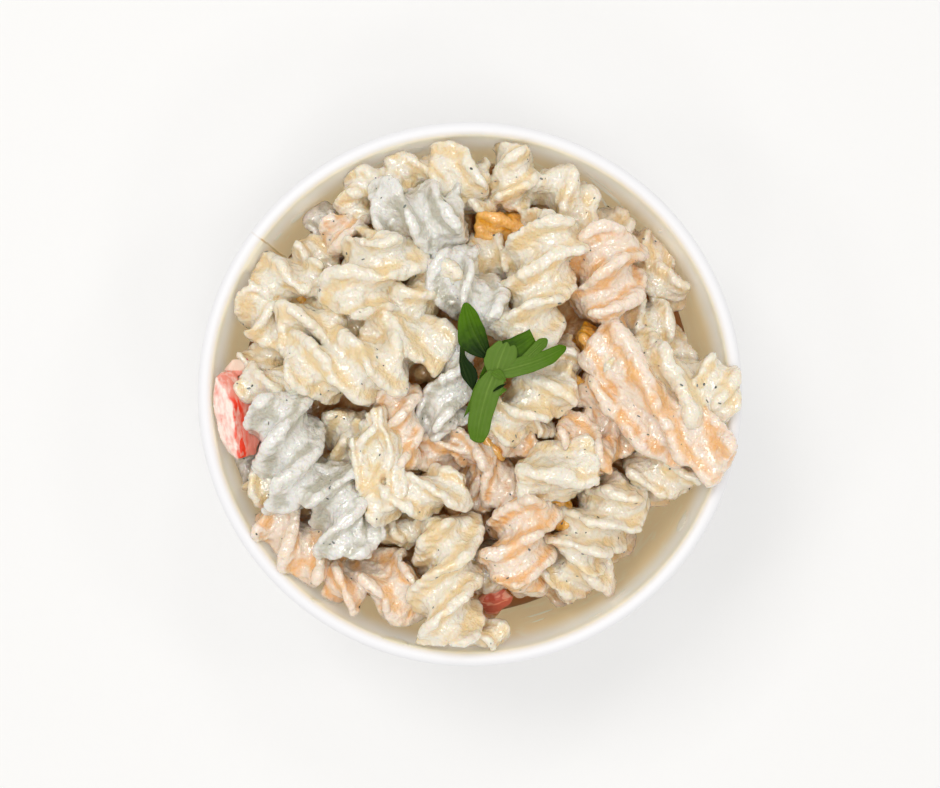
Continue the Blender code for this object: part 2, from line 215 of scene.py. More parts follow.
def newMaterial(name, finish):
    # the finish lies on the shader's own sockets, which are handed back for the links
    material = bpy.data.materials.new(name)
    material.use_nodes = True
    shader = material.node_tree.nodes["Principled BSDF"].inputs
    for socket, value in finish.items():
        shader[socket].default_value = value
    return material, material.node_tree, shader


# The rotini: ends of each axis in mm (z from the rim), diameter, turn of the blades, sideways bow,
# and where it differs the pitch

plainRotini = [
    ((-17, 46.5, -5.0), (-7, 47.5, -4.5), 9, 40, 0),
    ((-8, 48.0, -3.5), (3.5, 45.0, -3.0), 12, 60, 0, 40),
    ((-2, 42.5, -6.0), (6, 40.5, -6.0), 8, 0, 0),
    ((10.6, 52.5, -3.0), (7, 40.0, -3.5), 11, 10, 0),
    ((17.5, 47.5, -5.5), (25, 34.5, -8), 12, 70, 0),
    ((18.5, 37.0, 0.0), (10.5, 9.5, 1.5), 15, 0, 0),
    ((-1, 31.0, -8.5), (11, 25.5, -8), 12, 20, 0),
    ((3, -5.5, 1.8), (21.5, 1.5, 1.0), 11.5, 50, 0),
    ((11, 4.0, -2.0), (23, 8.5, -3.0), 9, 0, 0),
    ((-16.5, 33.5, 1.5), (-24.5, 16.5, 1.5), 17, 15, 0),
    ((-27.0, 38.5, -6.0), (-15.0, 43.5, -4.0), 8.5, 80, 3.6, 20),
    ((-37.5, 31.0, -7.0), (-28, 28.0, -6.5), 8.5, 0, 0),
    ((-46, 24.5, -5.5), (-30, 24.5, -3.0), 11.5, 30, 0),
    ((-43.5, 22.0, -5.0), (-43.5, 10.5, -5.0), 11.5, 60, 0),
    ((-40, 14.0, -2.5), (-26, 14.0, -1.5), 13, 90, 0, 40),
    ((-28, 17.0, -4.5), (-20, 13.0, -4.5), 9, 30, 0),
    ((-17, 17.5, -0.5), (-1, 25.0, -0.5), 11, 45, 0),
    ((-22, 14.5, 0.5), (-4, 8.5, 0.5), 12.5, 100, 0, 55),
    ((-38, 4.5, 1.5), (-13, 7.0, 2.5), 15, 25, 0),
    ((-50, 6.5, -7.5), (-38, 9.5, -8.0), 8, 0, 0),
    ((-48.5, 3.5, -3.5), (-36, 0.5, -2.5), 9, 55, 0),
    ((-46.0, -16.5, -3.5), (-39, -21.0, -3.5), 10.5, 35, 0),
    ((-5.5, -26.0, -1.5), (-4.0, -52.5, -1.0), 15, 20, 0),
    ((0, -50.0, -3.0), (7, -51.5, -2.5), 7, 0, 0),
    ((-20.5, -6.0, 0.0), (-19, -24.0, 0.0), 10, 0, 0),
    ((-20, -3.5, 2.8), (-14.5, -21.5, 3.2), 4.6, 0, 0.8, 70),
    ((-24, -9.0, 2.4), (-21.5, -20.5, 2.8), 4.6, 30, -0.5, 70),
    ((13.5, -4.0, -1.0), (16.5, -9.0, -1.5), 4.6, 0, 0),
    ((-22, -22.5, 0.5), (-1, -19.5, 0.0), 10, 75, 0),
    ((10, -18.0, 2.5), (26, -15.5, 2.5), 12, 110, 0, 70),
    ((-18, -27.0, -6.5), (-11, -31.0, -6.5), 8, 0, 0),
    ((33.5, -19.0, -4.0), (21.5, -35.0, -6.0), 16, 10, 0, 22),
    ((30.5, -37.0, -9.5), (11, -39.5, -10.0), 11.5, 45, 0, 24),
    ((19.5, -39.0, -9.5), (21.5, -44.5, -10.0), 5, 0, 0),
    ((36.5, -21.0, -16.5), (28.5, -35.0, -17.0), 10, 20, 0),
    ((8, -40.0, -17.0), (22, -41.0, -17.0), 9, 70, 0),
    ((34.5, -18.5, -5.0), (47.5, -17.0, -5.0), 9.5, 0, 0),
    ((32.5, 10.0, -3.5), (53, -6.5, 0.0), 15, 60, 0, 60),
    ((49.5, 7.0, -2.0), (53.5, -4.0, 1.0), 11, 15, 0),
    ((33.5, 18.5, -8.5), (42.5, 10.5, -8.5), 11.5, 95, 0),
    ((37, 24.0, -10.5), (46, 24.0, -10.0), 10, 50, 0),
    ((36, 34.0, -11.0), (43.5, 27.0, -10.5), 8, 0, 0),
    ((27.5, 40.0, -12.0), (33.5, 33.5, -11.5), 9, 30, 0),
    ((42, 13.5, -11.5), (48, 5.5, -11.0), 8, 0, 0),
    ((1, -33.0, -9.0), (4.5, -43.0, -11.5), 9, 20, 0),
    ((-26, -3.5, -5.5), (-26, -16.0, -6.0), 10, 65, 0),
    ((39, -21.5, -10.5), (46, -21.0, -10.5), 7, 0, 0),
]
tomatoRotini = [
    ((25.5, 11.0, -0.5), (54.0, -13.5, 4.0), 12.5, 75, -1.2, 80),
    ((24.5, 2.5, -1.0), (46.5, -10.5, 0.5), 11, 20, -1.0, 80),
    ((30.5, 34.5, -2.5), (27, 15.5, -2.0), 15.5, 35, 0),
    ((3, 36.0, -11.0), (13, 34.5, -10.0), 10, 0, 0),
    ((-27, 38.0, -5.5), (-26, 29.5, -5.0), 12, 65, 0),
    ((-43.5, -24.5, -5.0), (-31.5, -39.0, -5.0), 13.5, 30, 0),
    ((-30, -38.5, -5.5), (-22, -42.0, -4.5), 11, 100, 0),
    ((-21.5, -41.0, -5.0), (-11, -40.0, -5.0), 15, 0, 0),
    ((-15.5, 2.0, -1.5), (-14, -15.5, 0.5), 9, 50, 0),
    ((-14, -15.0, -5.0), (-2, -9.5, -5.5), 10, 20, 0),
    ((-4, -10.5, -4.0), (5, -12.0, -4.0), 9.5, 85, 0),
    ((7, -5.0, -3.5), (10.5, -13.5, -3.5), 7.5, 0, 0),
    ((13.5, -22.0, -1.5), (8.5, -40.0, -3.0), 15, 40, 0),
    ((18, -8.5, 0.0), (29.5, -14.0, -0.5), 11, 10, 0),
    ((3, -16.0, -8.5), (2, -25.0, -8.5), 8, 0, 0),
    ((4.0, -13.5, -5.5), (7.5, -24.0, -5.0), 8, 0, 0),
    ((25, 13.5, -9.0), (30, 2.0, -8.0), 9, 40, 0),
    ((25, -3.0, -4.5), (33, -13.5, -5.0), 9, 30, 0),
]
bareRotini = [
    ((1.5, 36.5, -6.5), (12.5, 35.0, -6.0), 7.5, 0, 0, 90),
    ((23, 13.0, -4.0), (29.5, 3.5, -4.5), 8.5, 30, 0, 90),
    ((2, -9.5, -4.5), (8, -11.5, -5.5), 7, 0, 0),
    ((-17.5, -12.0, -4.0), (-16.5, -3.0, -4.5), 4.5, 0, 0),
    ((19, 5.0, -3.5), (22.5, -2.0, -3.5), 6, 30, 0),
    ((-15, 16.0, -5.0), (-9, 15.5, -5.0), 5, 0, 0),
    ((-39, 24.0, -7.0), (-33, 20.5, -7.0), 6, 0, 0),
    ((18, -21.0, -4.5), (19.5, -28.0, -5.5), 6, 40, 0),
    ((-26, 37.5, -7.5), (-20, 32.0, -7.0), 5, 0, 0),
]
spinachRotini = [
    ((-20, 38.5, -1.0), (-1.5, 36.5, -1.0), 15, 55, 0),
    ((-5.5, 29.0, -1.5), (5, 14.5, 1.5), 13.5, 20, 0),
    ((-3, 11.5, 0.5), (-4.5, -6.5, -1.5), 9.5, 70, 0),
    ((-9.5, 0.5, -5.0), (-7.5, -9.5, -4.5), 9, 15, 0),
    ((-40.5, 0.0, 0.0), (-34.5, -23.5, 0.5), 15.5, 45, 0),
    ((-27.5, -14.5, -1.0), (-27, -34.5, -0.5), 12.5, 85, 0),
    ((-25, -26.0, -2.0), (-19, -31.5, -1.5), 10, 0, 0),
    ((-34.5, 36.0, -11.0), (-28, 37.5, -10.5), 9, 30, 0),
    ((-47.5, -9.0, -11.0), (-48, -20.0, -11.0), 6, 0, 0),
]

guideShape = {"pitch": 27.0 * mm, "spacing": 1.5 * mm, "sway": 0.9, "squeeze": (0.85, 1.15)}
rotiniVoxel = 0.46 * mm
rotiniShape = {
    "Step": 0.5 * mm, "Round Points": 66, "Valley": 0.52, "Blade Width": 0.46,
    "Uneven": 0.9, "Drift": 4.5 * mm,
}
dressingShape = {
    "Soften": 2,
    "Swell Height": 0.7 * mm, "Swell Size": 6.0 * mm,
    "Lump Height": 0.48 * mm, "Lump Size": 2.2 * mm,
    "Grain Height": 0.36 * mm, "Grain Size": 1.1 * mm,
    "Coat Height": 0.5 * mm, "Coat Size": 4.2 * mm,
}
insideWall = {"Wall Radius": 53.9 * mm, "Wall Slope": 0.134, "Rim Height": rimZ, "Lip": 2.6 * mm}


def rotiniTree():
    # guide curves to plain twisted solids; every point keeps how far out on its blade it is
    tree, ask, end = newTree("rotini", rotiniShape, {"Seed": "Float", "Material": "Material"})
    circle = put(tree, "GeometryNodeCurvePrimitiveCircle", {"Resolution": 180, "Radius": 1.0}, mode="RADIUS")
    along = put(tree, "GeometryNodeSplineParameter").outputs["Factor"]
    turn = minus(tree, calc(tree, "FRACT", timesPlus(tree, along, 3.0, 0.5)), 0.5)  # three blades
    across = calc(tree, "DIVIDE", times(tree, turn, 2 * math.pi / 3), ask["Blade Width"])
    flat = calc(tree, "POWER", calc(tree, "ABSOLUTE", across), 2.2)
    bell = calc(tree, "EXPONENT", times(tree, flat, -1.0))
    reach = plus(tree, ask["Valley"], times(tree, bell, minus(tree, 1.0, ask["Valley"])))
    place = put(tree, "GeometryNodeInputPosition").outputs[0]
    shaped = moved(tree, circle.outputs[0], "Position", stretch(tree, place, reach))
    marked = stored(tree, shaped, "blade", bell)
    section = resampled(tree, marked, "Count", ask["Round Points"])
    guide = resampled(tree, ask["Geometry"], "Length", ask["Step"])
    travelled = put(tree, "GeometryNodeSplineParameter").outputs["Length"]
    whole = put(tree, "GeometryNodeSplineLength").outputs["Length"]
    toEnd = calc(tree, "MINIMUM", travelled, minus(tree, whole, travelled))
    rounded = smoothStep(tree, toEnd, -0.6 * mm, 1.2 * mm, 0.75, 1.0)
    radius = times(tree, put(tree, "GeometryNodeInputRadius").outputs[0], rounded)
    sized = put(tree, "GeometryNodeSetCurveRadius", {"Curve": guide, "Radius": radius}).outputs[0]
    threaded = stored(tree, sized, "axis", place, "FLOAT_VECTOR")
    solid = put(tree, "GeometryNodeCurveToMesh", {
        "Curve": threaded, "Profile Curve": section, "Fill Caps": True,
        "Scale": put(tree, "GeometryNodeInputRadius").outputs[0]}).outputs[0]

    # each blade reaches its own way out and leans its own way
    outward = vector(tree, "SUBTRACT", {0: place, 1: recalled(tree, "axis", "FLOAT_VECTOR")})
    spread = minus(tree, noiseField(tree, place, 9 * mm, ask["Seed"], 1.0), 0.47)
    bulged = moved(tree, solid, "Offset", stretch(tree, outward, times(tree, spread, ask["Uneven"])))
    lean = {"Vector": place, "W": ask["Seed"], "Scale": 110.0, "Detail": 1.0}
    drift = put(tree, "ShaderNodeTexNoise", lean, noise_dimensions="4D").outputs[1]
    centred = vector(tree, "SUBTRACT", {0: drift, 1: (0.5, 0.5, 0.5)})
    leaning = moved(tree, bulged, "Offset", stretch(tree, centred, ask["Drift"]))
    return finishTree(tree, leaning, ask, end)


def dressingTree():
    # an even mesh of fused pieces to dressed ones: softened, swollen, lumpy, thicker in the valleys
    tree, ask, end = newTree("dressing", {**dressingShape, **insideWall},
                             {"Bare": "Object", "Seed": "Float", "Material": "Material"})
    place = put(tree, "GeometryNodeInputPosition").outputs[0]
    bare = put(tree, "GeometryNodeObjectInfo", {"Object": ask["Bare"]}, transform_space="ORIGINAL")
    nearest = put(tree, "GeometryNodeSampleNearestSurface",
                  {"Mesh": bare.outputs["Geometry"], "Value": recalled(tree, "blade")}, data_type="FLOAT")
    bladed = stored(tree, ask["Geometry"], "blade", nearest.outputs[0])
    blurred = put(tree, "GeometryNodeBlurAttribute", {"Value": place, "Iterations": ask["Soften"]},
                  data_type="FLOAT_VECTOR")
    soft = moved(tree, bladed, "Position", blurred.outputs[0])

    blade = recalled(tree, "blade")
    patches = noiseField(tree, place, ask["Coat Size"], plus(tree, ask["Seed"], 5.0), 2.0, 0.4)
    edge = smoothStep(tree, blade, 0.45, 0.95)
    valley = smoothStep(tree, blade, 0.18, 0.0)
    wanted = plus(tree, patches, times(tree, plus(tree, edge, valley), 0.17))
    coat = smoothStep(tree, wanted, 0.45, 0.67)
    coated = stored(tree, soft, "coat", coat)

    def relief(kind, shift, detail):
        field = noiseField(tree, place, ask[kind + " Size"], plus(tree, ask["Seed"], shift), detail)
        return times(tree, minus(tree, field, 0.5), times(tree, ask[kind + " Height"], 2.0))

    rise = plus(tree, relief("Swell", 9.0, 1.0), relief("Lump", 2.0, 1.5))
    rise = plus(tree, rise, times(tree, relief("Grain", 4.0, 1.0), timesPlus(tree, coat, 0.8, 0.4)))
    rise = plus(tree, rise, times(tree, coat, ask["Coat Height"]))
    facing = put(tree, "GeometryNodeInputNormal").outputs[0]
    lumpy = moved(tree, coated, "Offset", stretch(tree, facing, rise))

    # inside the wall, and no further out than the lip above it
    x, y, z = put(tree, "ShaderNodeSeparateXYZ", {0: place}).outputs
    aboveRim = minus(tree, z, ask["Rim Height"])
    below = times(tree, calc(tree, "MINIMUM", aboveRim, 0.0), ask["Wall Slope"])
    lip = times(tree, smoothStep(tree, aboveRim, -1.6 * mm, 0.8 * mm), ask["Lip"])
    wall = plus(tree, plus(tree, ask["Wall Radius"], below), lip)
    out = calc(tree, "MAXIMUM", outFrom(tree, x, y), 1.0 * mm)
    pull = calc(tree, "MINIMUM", calc(tree, "DIVIDE", wall, out), 1.0)
    kept = put(tree, "ShaderNodeCombineXYZ", {0: times(tree, x, pull), 1: times(tree, y, pull), 2: z})
    held = moved(tree, lumpy, "Position", kept.outputs[0])
    smooth = put(tree, "GeometryNodeSetShadeSmooth", {"Geometry": held}).outputs[0]
    return finishTree(tree, smooth, ask, end)


def guideCurves(name, table):
    # each axis is a bowed line whose tilt turns the blades, a little faster at one end
    curve = bpy.data.curves.new(name, "CURVE")
    curve.dimensions = "3D"
    draw = random.Random(name)
    for start, end, across, turn, bow, *own in table:
        start, end = Vector(start), Vector(end)
        twist = own[0] * mm if own else guideShape["pitch"]
        run = end - start
        left = Vector((-run.y, run.x, 0.0)).normalized()
        length = run.length * mm
        sway = draw.uniform(-guideShape["sway"], guideShape["sway"])
        squeeze = draw.uniform(*guideShape["squeeze"])
        count = max(6, round(length / guideShape["spacing"]))
        spline = curve.splines.new("POLY")
        spline.points.add(count - 1)
        for i, point in enumerate(spline.points):
            share = i / (count - 1)
            side = bow * math.sin(math.pi * share) + sway * math.sin(2 * math.pi * share)
            spot = (start.lerp(end, share) + left * side) * mm
            point.co = (spot.x, spot.y, spot.z + rimZ, 1.0)
            point.radius = across / 2 * mm
            point.tilt = math.radians(turn) + 2 * math.pi * length * share**squeeze / twist
    return addObject(name, curve)


# Pasta under its dressing: bare is the dough's colour, dressed the coat's, and cover and least say
# how much of it hides the dough on a coat and off it

pastaFinish = {
    "IOR": 1.42, "Subsurface Radius": (1.0, 0.6, 0.28), "Subsurface Scale": 1.5 * mm,
    "Coat Weight": 1.0, "Coat Roughness": 0.06, "Coat IOR": 1.75,
}
pastaRelief = {
    "cloudSize": 2.4 * mm, "wrinkleSize": 1.0 * mm, "wrinkleBump": 0.34 * mm, "grainSize": 0.6 * mm,
    "grainBump": 0.32 * mm,
}
pastaLooks = {
    "plainPasta": {"bare": fromSrgb(239, 210, 154), "dressed": fromSrgb(238, 232, 217), "cover": 0.72,
                   "cloud": 0.5, "least": -0.06, "roughness": 0.36, "through": 0.4, "seed": 1.0},
    "tomatoPasta": {"bare": fromSrgb(241, 180, 100), "dressed": fromSrgb(241, 225, 208), "cover": 0.74,
                    "cloud": 0.6, "least": -0.06, "roughness": 0.36, "through": 0.4, "seed": 4.0},
    "spinachPasta": {"bare": fromSrgb(180, 174, 150), "dressed": fromSrgb(234, 232, 226), "cover": 0.66,
                     "cloud": 0.55, "least": 0.05, "roughness": 0.34, "through": 0.35, "seed": 8.0},
    "barePasta": {"bare": fromSrgb(252, 174, 30), "dressed": fromSrgb(248, 208, 150), "cover": 0.35,
                  "cloud": 0.4, "least": -0.18, "roughness": 0.3, "through": 0.4, "seed": 5.0},
    # the pieces underneath are tinted orange-brown: their dough colour with painted warm shade of the gaps
    # laid over it
    "underPastaWarmShade": {"bare": fromSrgb(232, 158, 80), "dressed": fromSrgb(246, 212, 160), "cover": 0.55,
                   "cloud": 0.4, "least": 0.0, "roughness": 0.4, "through": 0.4, "seed": 6.0},
}


def pastaMaterial(name, looks):
    finish = {**pastaFinish, "Roughness": looks["roughness"], "Subsurface Weight": looks["through"]}
    material, tree, shader = newMaterial(name, finish)
    place = put(tree, "ShaderNodeTexCoord").outputs["Object"]
    coat = put(tree, "ShaderNodeAttribute", attribute_name="coat").outputs["Fac"]
    cloud = noiseField(tree, place, pastaRelief["cloudSize"], looks["seed"], 3.0, 0.5)
    covered = timesPlus(tree, coat, looks["cover"], timesPlus(tree, cloud, looks["cloud"], looks["least"]))
    wrinkle = noiseField(tree, place, pastaRelief["wrinkleSize"], 3.0, 1.5, 0.8)
    # the colour leans to the darker dough in the wrinkles' low spots: painted shade in the wrinkle valleys
    thick = timesPlus(tree, minus(tree, wrinkle, 0.5), 0.8, covered, clamp=True)
    tree.links.new(mixed(tree, thick, looks["bare"], looks["dressed"]), shader["Base Color"])
    broad = bumped(tree, wrinkle, pastaRelief["wrinkleBump"])
    grain = noiseField(tree, place, pastaRelief["grainSize"], 7.0, 1.0)
    tree.links.new(bumped(tree, grain, pastaRelief["grainBump"], over=broad), shader["Normal"])
    return material


grower = rotiniTree()
dresser = dressingTree()
pasta = {name: pastaMaterial(name, looks) for name, looks in pastaLooks.items()}
print(len(pasta), "pasta materials ready")


def dressedPiece(name, bareMesh, voxel, dressing, material, seed, replacing):
    # the bare shapes fused into one even mesh, with the dressing laid over it
    bare = addObject(name + "Bare", bareMesh)
    carrier = addObject(name + "Carrier", evenMesh(bare, voxel))
    values = {**dressing, **insideWall, "Bare": bare, "Seed": seed, "Material": material}
    mesh = grow(carrier, dresser, values)
    for helper in (bare, carrier):
        bpy.data.objects.remove(helper, do_unlink=True)
    return addPiece(name, mesh, replacing)


def sweptPiece(name, table, material, seed, replacing=(), voxel=rotiniVoxel):
    guide = guideCurves(name + "Guide", table)
    bareMesh = grow(guide, grower, {**rotiniShape, "Seed": seed, "Material": material})
    bpy.data.objects.remove(guide, do_unlink=True)
    return dressedPiece(name, bareMesh, voxel, dressingShape, material, seed, replacing)


def leftSide(row):
    return row[0][0] + row[1][0] < 0


plainLeft = [row for row in plainRotini if leftSide(row)]
plainRight = [row for row in plainRotini if not leftSide(row)]
shown = [
    sweptPiece("rotiniPlainLeft", plainLeft, pasta["plainPasta"], 1.0, ["pasta_heap"]),
    sweptPiece("rotiniPlainRight", plainRight, pasta["plainPasta"], 12.0),
    sweptPiece("rotiniTomato", tomatoRotini, pasta["tomatoPasta"], 21.0),
    sweptPiece("rotiniSpinach", spinachRotini, pasta["spinachPasta"], 43.0),
    sweptPiece("rotiniBare", bareRotini, pasta["barePasta"], 57.0),
]

# Pieces under the ones that show, seeded, lower towards the wall and none in the free crescent

underneath = {
    "count": 50, "seed": 11, "reach": 43 * mm, "top": -14.0, "fall": 4.0, "rim": 57.5, "dip": 22.0,
    "dipHeading": -42, "dipMost": 5.5, "half": (8, 13), "across": (11.5, 14.5), "stray": 0.2, "rise": 1.2,
    "tilt": 2.5, "turn": 120, "bow": 2, "voxel": 0.8 * mm,
}
goldenAngle = 2.399963


def dipAt(x, y):
    # how much lower the salad stands here: at the lower right it leaves the wall free
    facing = max(0.0, math.cos(math.atan2(y, x) - math.radians(underneath["dipHeading"])))
    return underneath["dip"] * facing**2 * (math.hypot(x, y) / underneath["rim"]) ** 3


def underTable():
    draw = random.Random(underneath["seed"])
    table = []

    def either(name):
        return draw.uniform(-underneath[name], underneath[name])

    for i in range(underneath["count"]):
        share = math.sqrt((i + 0.5) / underneath["count"])
        angle = i * goldenAngle + either("stray")
        out = share * underneath["reach"] / mm
        x, y = out * math.cos(angle), out * math.sin(angle)
        if dipAt(x, y) > underneath["dipMost"]:
            continue
        heading = draw.uniform(0, math.pi)
        half = draw.uniform(*underneath["half"])
        z = underneath["top"] - underneath["fall"] * share**2 - dipAt(x, y) + either("rise")
        tilt = either("tilt")
        dx, dy = half * math.cos(heading), half * math.sin(heading)
        across = draw.uniform(*underneath["across"])
        turn = draw.uniform(0, underneath["turn"])
        bow = either("bow")
        table.append(((x - dx, y - dy, z - tilt), (x + dx, y + dy, z + tilt), across, turn, bow))
    return table


sweptPiece("rotiniUnder", underTable(), pasta["underPastaWarmShade"], 70.0, voxel=underneath["voxel"])

# Wall lines of the bowl

bowl = {
    "rimRadius": 57.5 * mm, "baseRadius": 46.0 * mm, "wall": 0.6 * mm, "curl": 1.6 * mm, "skirt": 6.0 * mm,
    "floorTurn": 1.2 * mm, "steps": 216, "rows": 24, "underRows": 8, "lipFrom": 178, "lipTo": -118,
    "seamAngle": 143.5, "seamLap": 8.0, "seamStep": 0.22 * mm,
}
curlMiddle = (bowl["rimRadius"] - bowl["curl"], rimZ - bowl["curl"])
wallSlope = (bowl["rimRadius"] - 2 * bowl["curl"] + bowl["wall"] - bowl["baseRadius"]) / curlMiddle[1]


def wallOutside(z):
    return bowl["baseRadius"] + wallSlope * z


def wallInside(z):
    return wallOutside(z) - bowl["wall"]


def wallMiddle(tree, z):
    return timesPlus(tree, z, wallSlope, bowl["baseRadius"] - bowl["wall"] / 2)


# Packed salad below the pieces: a lumpy dome that keeps to the wall; its brown-orange colour is painted shade
# for the deep gaps between the pieces

core = {
    "top": -13.0, "edge": -23.0, "reach": 51.0, "low": 6.9, "flat": 46.0, "rings": 26, "steps": 96,
    "lump": 1.6, "lumpSize": 6, "lumpBelowRim": 40, "gap": 0.3, "colour": fromSrgb(204, 136, 66),
}


def turnedMesh(name, profile, angles, bend=None):
    work = bmesh.new()
    rings = []
    for radius, z in profile:
        if radius <= 1e-7:
            rings.append([work.verts.new((0.0, 0.0, z))])
            continue
        ring = []
        for angle in angles:
            r, height = bend(radius, z, angle) if bend else (radius, z)
            ring.append(work.verts.new((r * math.cos(angle), r * math.sin(angle), height)))
        rings.append(ring)
    steps = len(angles)
    for low, high in zip(rings, rings[1:]):
        for i in range(steps):
            j = (i + 1) % steps
            if len(low) == 1:
                work.faces.new((low[0], high[i], high[j]))
            elif len(high) == 1:
                work.faces.new((low[i], high[0], low[j]))
            else:
                work.faces.new((low[i], high[i], high[j], low[j]))
    bmesh.ops.recalc_face_normals(work, faces=work.faces)
    mesh = bpy.data.meshes.new(name)
    work.to_mesh(mesh)
    work.free()
    mesh.shade_smooth()
    return mesh


def evenAngles(steps):
    return [2 * math.pi * i / steps for i in range(steps)]


def corePiece():
    def bend(radius, z, angle):
        x, y = radius * math.cos(angle), radius * math.sin(angle)
        if z < rimZ - core["lumpBelowRim"] * mm:
            return radius, z
        lump = core["lump"] * mm * mathNoise.noise(Vector((x, y, z)) / (core["lumpSize"] * mm))
        height = z + lump - dipAt(x / mm, y / mm) * mm
        return min(radius, wallInside(height) - core["gap"] * mm), height
    profile = []
    for i in range(core["rings"] + 1):
        share = i / core["rings"] * math.pi / 2
        profile.append((core["reach"] * mm * math.sin(share),
                        rimZ + (core["edge"] + (core["top"] - core["edge"]) * math.cos(share)) * mm))
    profile += [(core["flat"] * mm, core["low"] * mm), (0.0, core["low"] * mm)]
    mesh = turnedMesh("saladCore", profile, evenAngles(core["steps"]), bend)
    # brown-orange: painted shade of the deep gaps between the pieces
    material, _, _ = newMaterial("packedSaladGapShade", {"Base Color": core["colour"], "Roughness": 0.5})
    mesh.materials.append(material)
    return addPiece("saladCore", mesh)


corePiece()

# Dressing smeared and dripped on the wall, placed by where it is seen from above:
# x, y, length, width in mm, and the turn from level with the lip

smears = {
    "side": (-12.5, 51.0, 8.0, 1.3, 0),
    "drip": (28.6, 42.6, 2.2, 1.5, 60),
    "dripTail": (28.0, 40.6, 3.4, 1.2, 80),
    "dripHead": (27.4, 44.4, 1.8, 0.6, 50),
    "spot": (40.0, 34.2, 0.9, 0.9, 0),
    "spotTwo": (44.2, 33.2, 0.5, 0.4, 0),
    "streak": (14.6, -46.2, 4.2, 0.5, 14),
    "streakTwo": (14.4, -47.6, 2.4, 0.4, 10),
    "curl": (26.2, -46.6, 3.4, 0.4, -8),
    "curlTwo": (31.5, -42.0, 3.6, 0.4, 6),
    "left": (-36.2, 37.2, 5.0, 1.0, -4),
    "leftTwo": (-40.4, 33.0, 2.4, 0.6, 0),
    "thick": (-15.6, -51.8, 5.6, 1.5, 0),
    "low": (44.5, -27.0, 4.0, 1.4, 6),
}


def onWall(x, y):
    # the spot on the inner wall that lies behind a point of the rim's plane
    out = math.hypot(x, y)
    depth = lookFrom["height"] * (wallInside(rimZ) - out) / (out + wallSlope * lookFrom["height"])
    return Vector((x, y, 0.0)) / out * wallInside(rimZ - depth) + Vector((0, 0, rimZ - depth))


def smearMask(tree, place):
    # ragged ovals on the wall, each measured in its own half length and half height
    ripple = {"Vector": place, "Scale": 1 / (1.3 * mm), "Detail": 2.0}
    shift = put(tree, "ShaderNodeTexNoise", ripple).outputs[1]
    mask = 0.0
    for x, y, long, wide, turned in smears.values():
        middle = Vector((x, y))
        ahead = middle.normalized()
        across = Vector((-ahead.y, ahead.x))
        turn = math.radians(turned)
        longAxis = (across * math.cos(turn) + ahead * math.sin(turn)) * long / 2
        wideAxis = (ahead * math.cos(turn) - across * math.sin(turn)) * wide / 2
        spot = onWall(*middle * mm)
        away = vector(tree, "SUBTRACT", {0: place, 1: spot})
        shares = {}
        for i, axis in enumerate((longAxis, wideAxis)):
            end = onWall(*(middle + axis) * mm) - spot
            shares[i] = vector(tree, "DOT_PRODUCT", {0: away, 1: end / end.length_squared}, "Value")
        flat = put(tree, "ShaderNodeCombineXYZ", shares).outputs[0]
        ragged = vector(tree, "MULTIPLY_ADD", {0: shift, 1: (1.0, 1.0, 0.0), 2: flat})
        out = vector(tree, "DISTANCE", {0: ragged, 1: (0.5, 0.5, 0.0)}, "Value")
        mask = calc(tree, "MAXIMUM", mask, smoothStep(tree, out, 1.0, 0.6))
    x, y, z = put(tree, "ShaderNodeSeparateXYZ", {0: place}).outputs
    onInside = calc(tree, "LESS_THAN", outFrom(tree, x, y), wallMiddle(tree, z))
    return times(tree, mask, onInside)


# Paper bowl: rolled lip, tapered wall with an overlapped seam, floor set up inside a skirt

# deep is the wall's colour low down: partly a dressing film, partly painted shade and warm bounce light
filmLooks = {
    "lip": fromSrgb(236, 236, 239), "top": fromSrgb(251, 236, 217), "deep": fromSrgb(255, 190, 141),
    "smudge": fromSrgb(255, 234, 206), "seam": fromSrgb(190, 158, 110), "deepFrom": 1.5 * mm,
    "deepAt": 14 * mm, "smearBump": 0.35 * mm, "fibreBump": 0.03 * mm,
}
paperFinish = {
    "Roughness": 0.4, "Subsurface Radius": (1.0, 0.85, 0.70), "Subsurface Scale": 7.0 * mm,
    "Coat Weight": 0.2, "Coat Roughness": 0.3,
}


def seamMask(tree, place, x, y, film):
    # the paper's cut edge, a line down the inside where the wall overlaps itself
    seam = math.radians(bowl["seamAngle"])
    across = plus(tree, times(tree, x, -math.sin(seam)), times(tree, y, math.cos(seam)))
    wander = timesPlus(tree, noiseField(tree, place, 6 * mm, 1.0), 0.8 * mm, -0.4 * mm)
    near = smoothStep(tree, calc(tree, "ABSOLUTE", plus(tree, across, wander)), 0.28 * mm, 0.1 * mm)
    sameSide = calc(tree, "LESS_THAN", x, 0.0)
    return times(tree, times(tree, near, sameSide), timesPlus(tree, film, 0.6, 0.15))


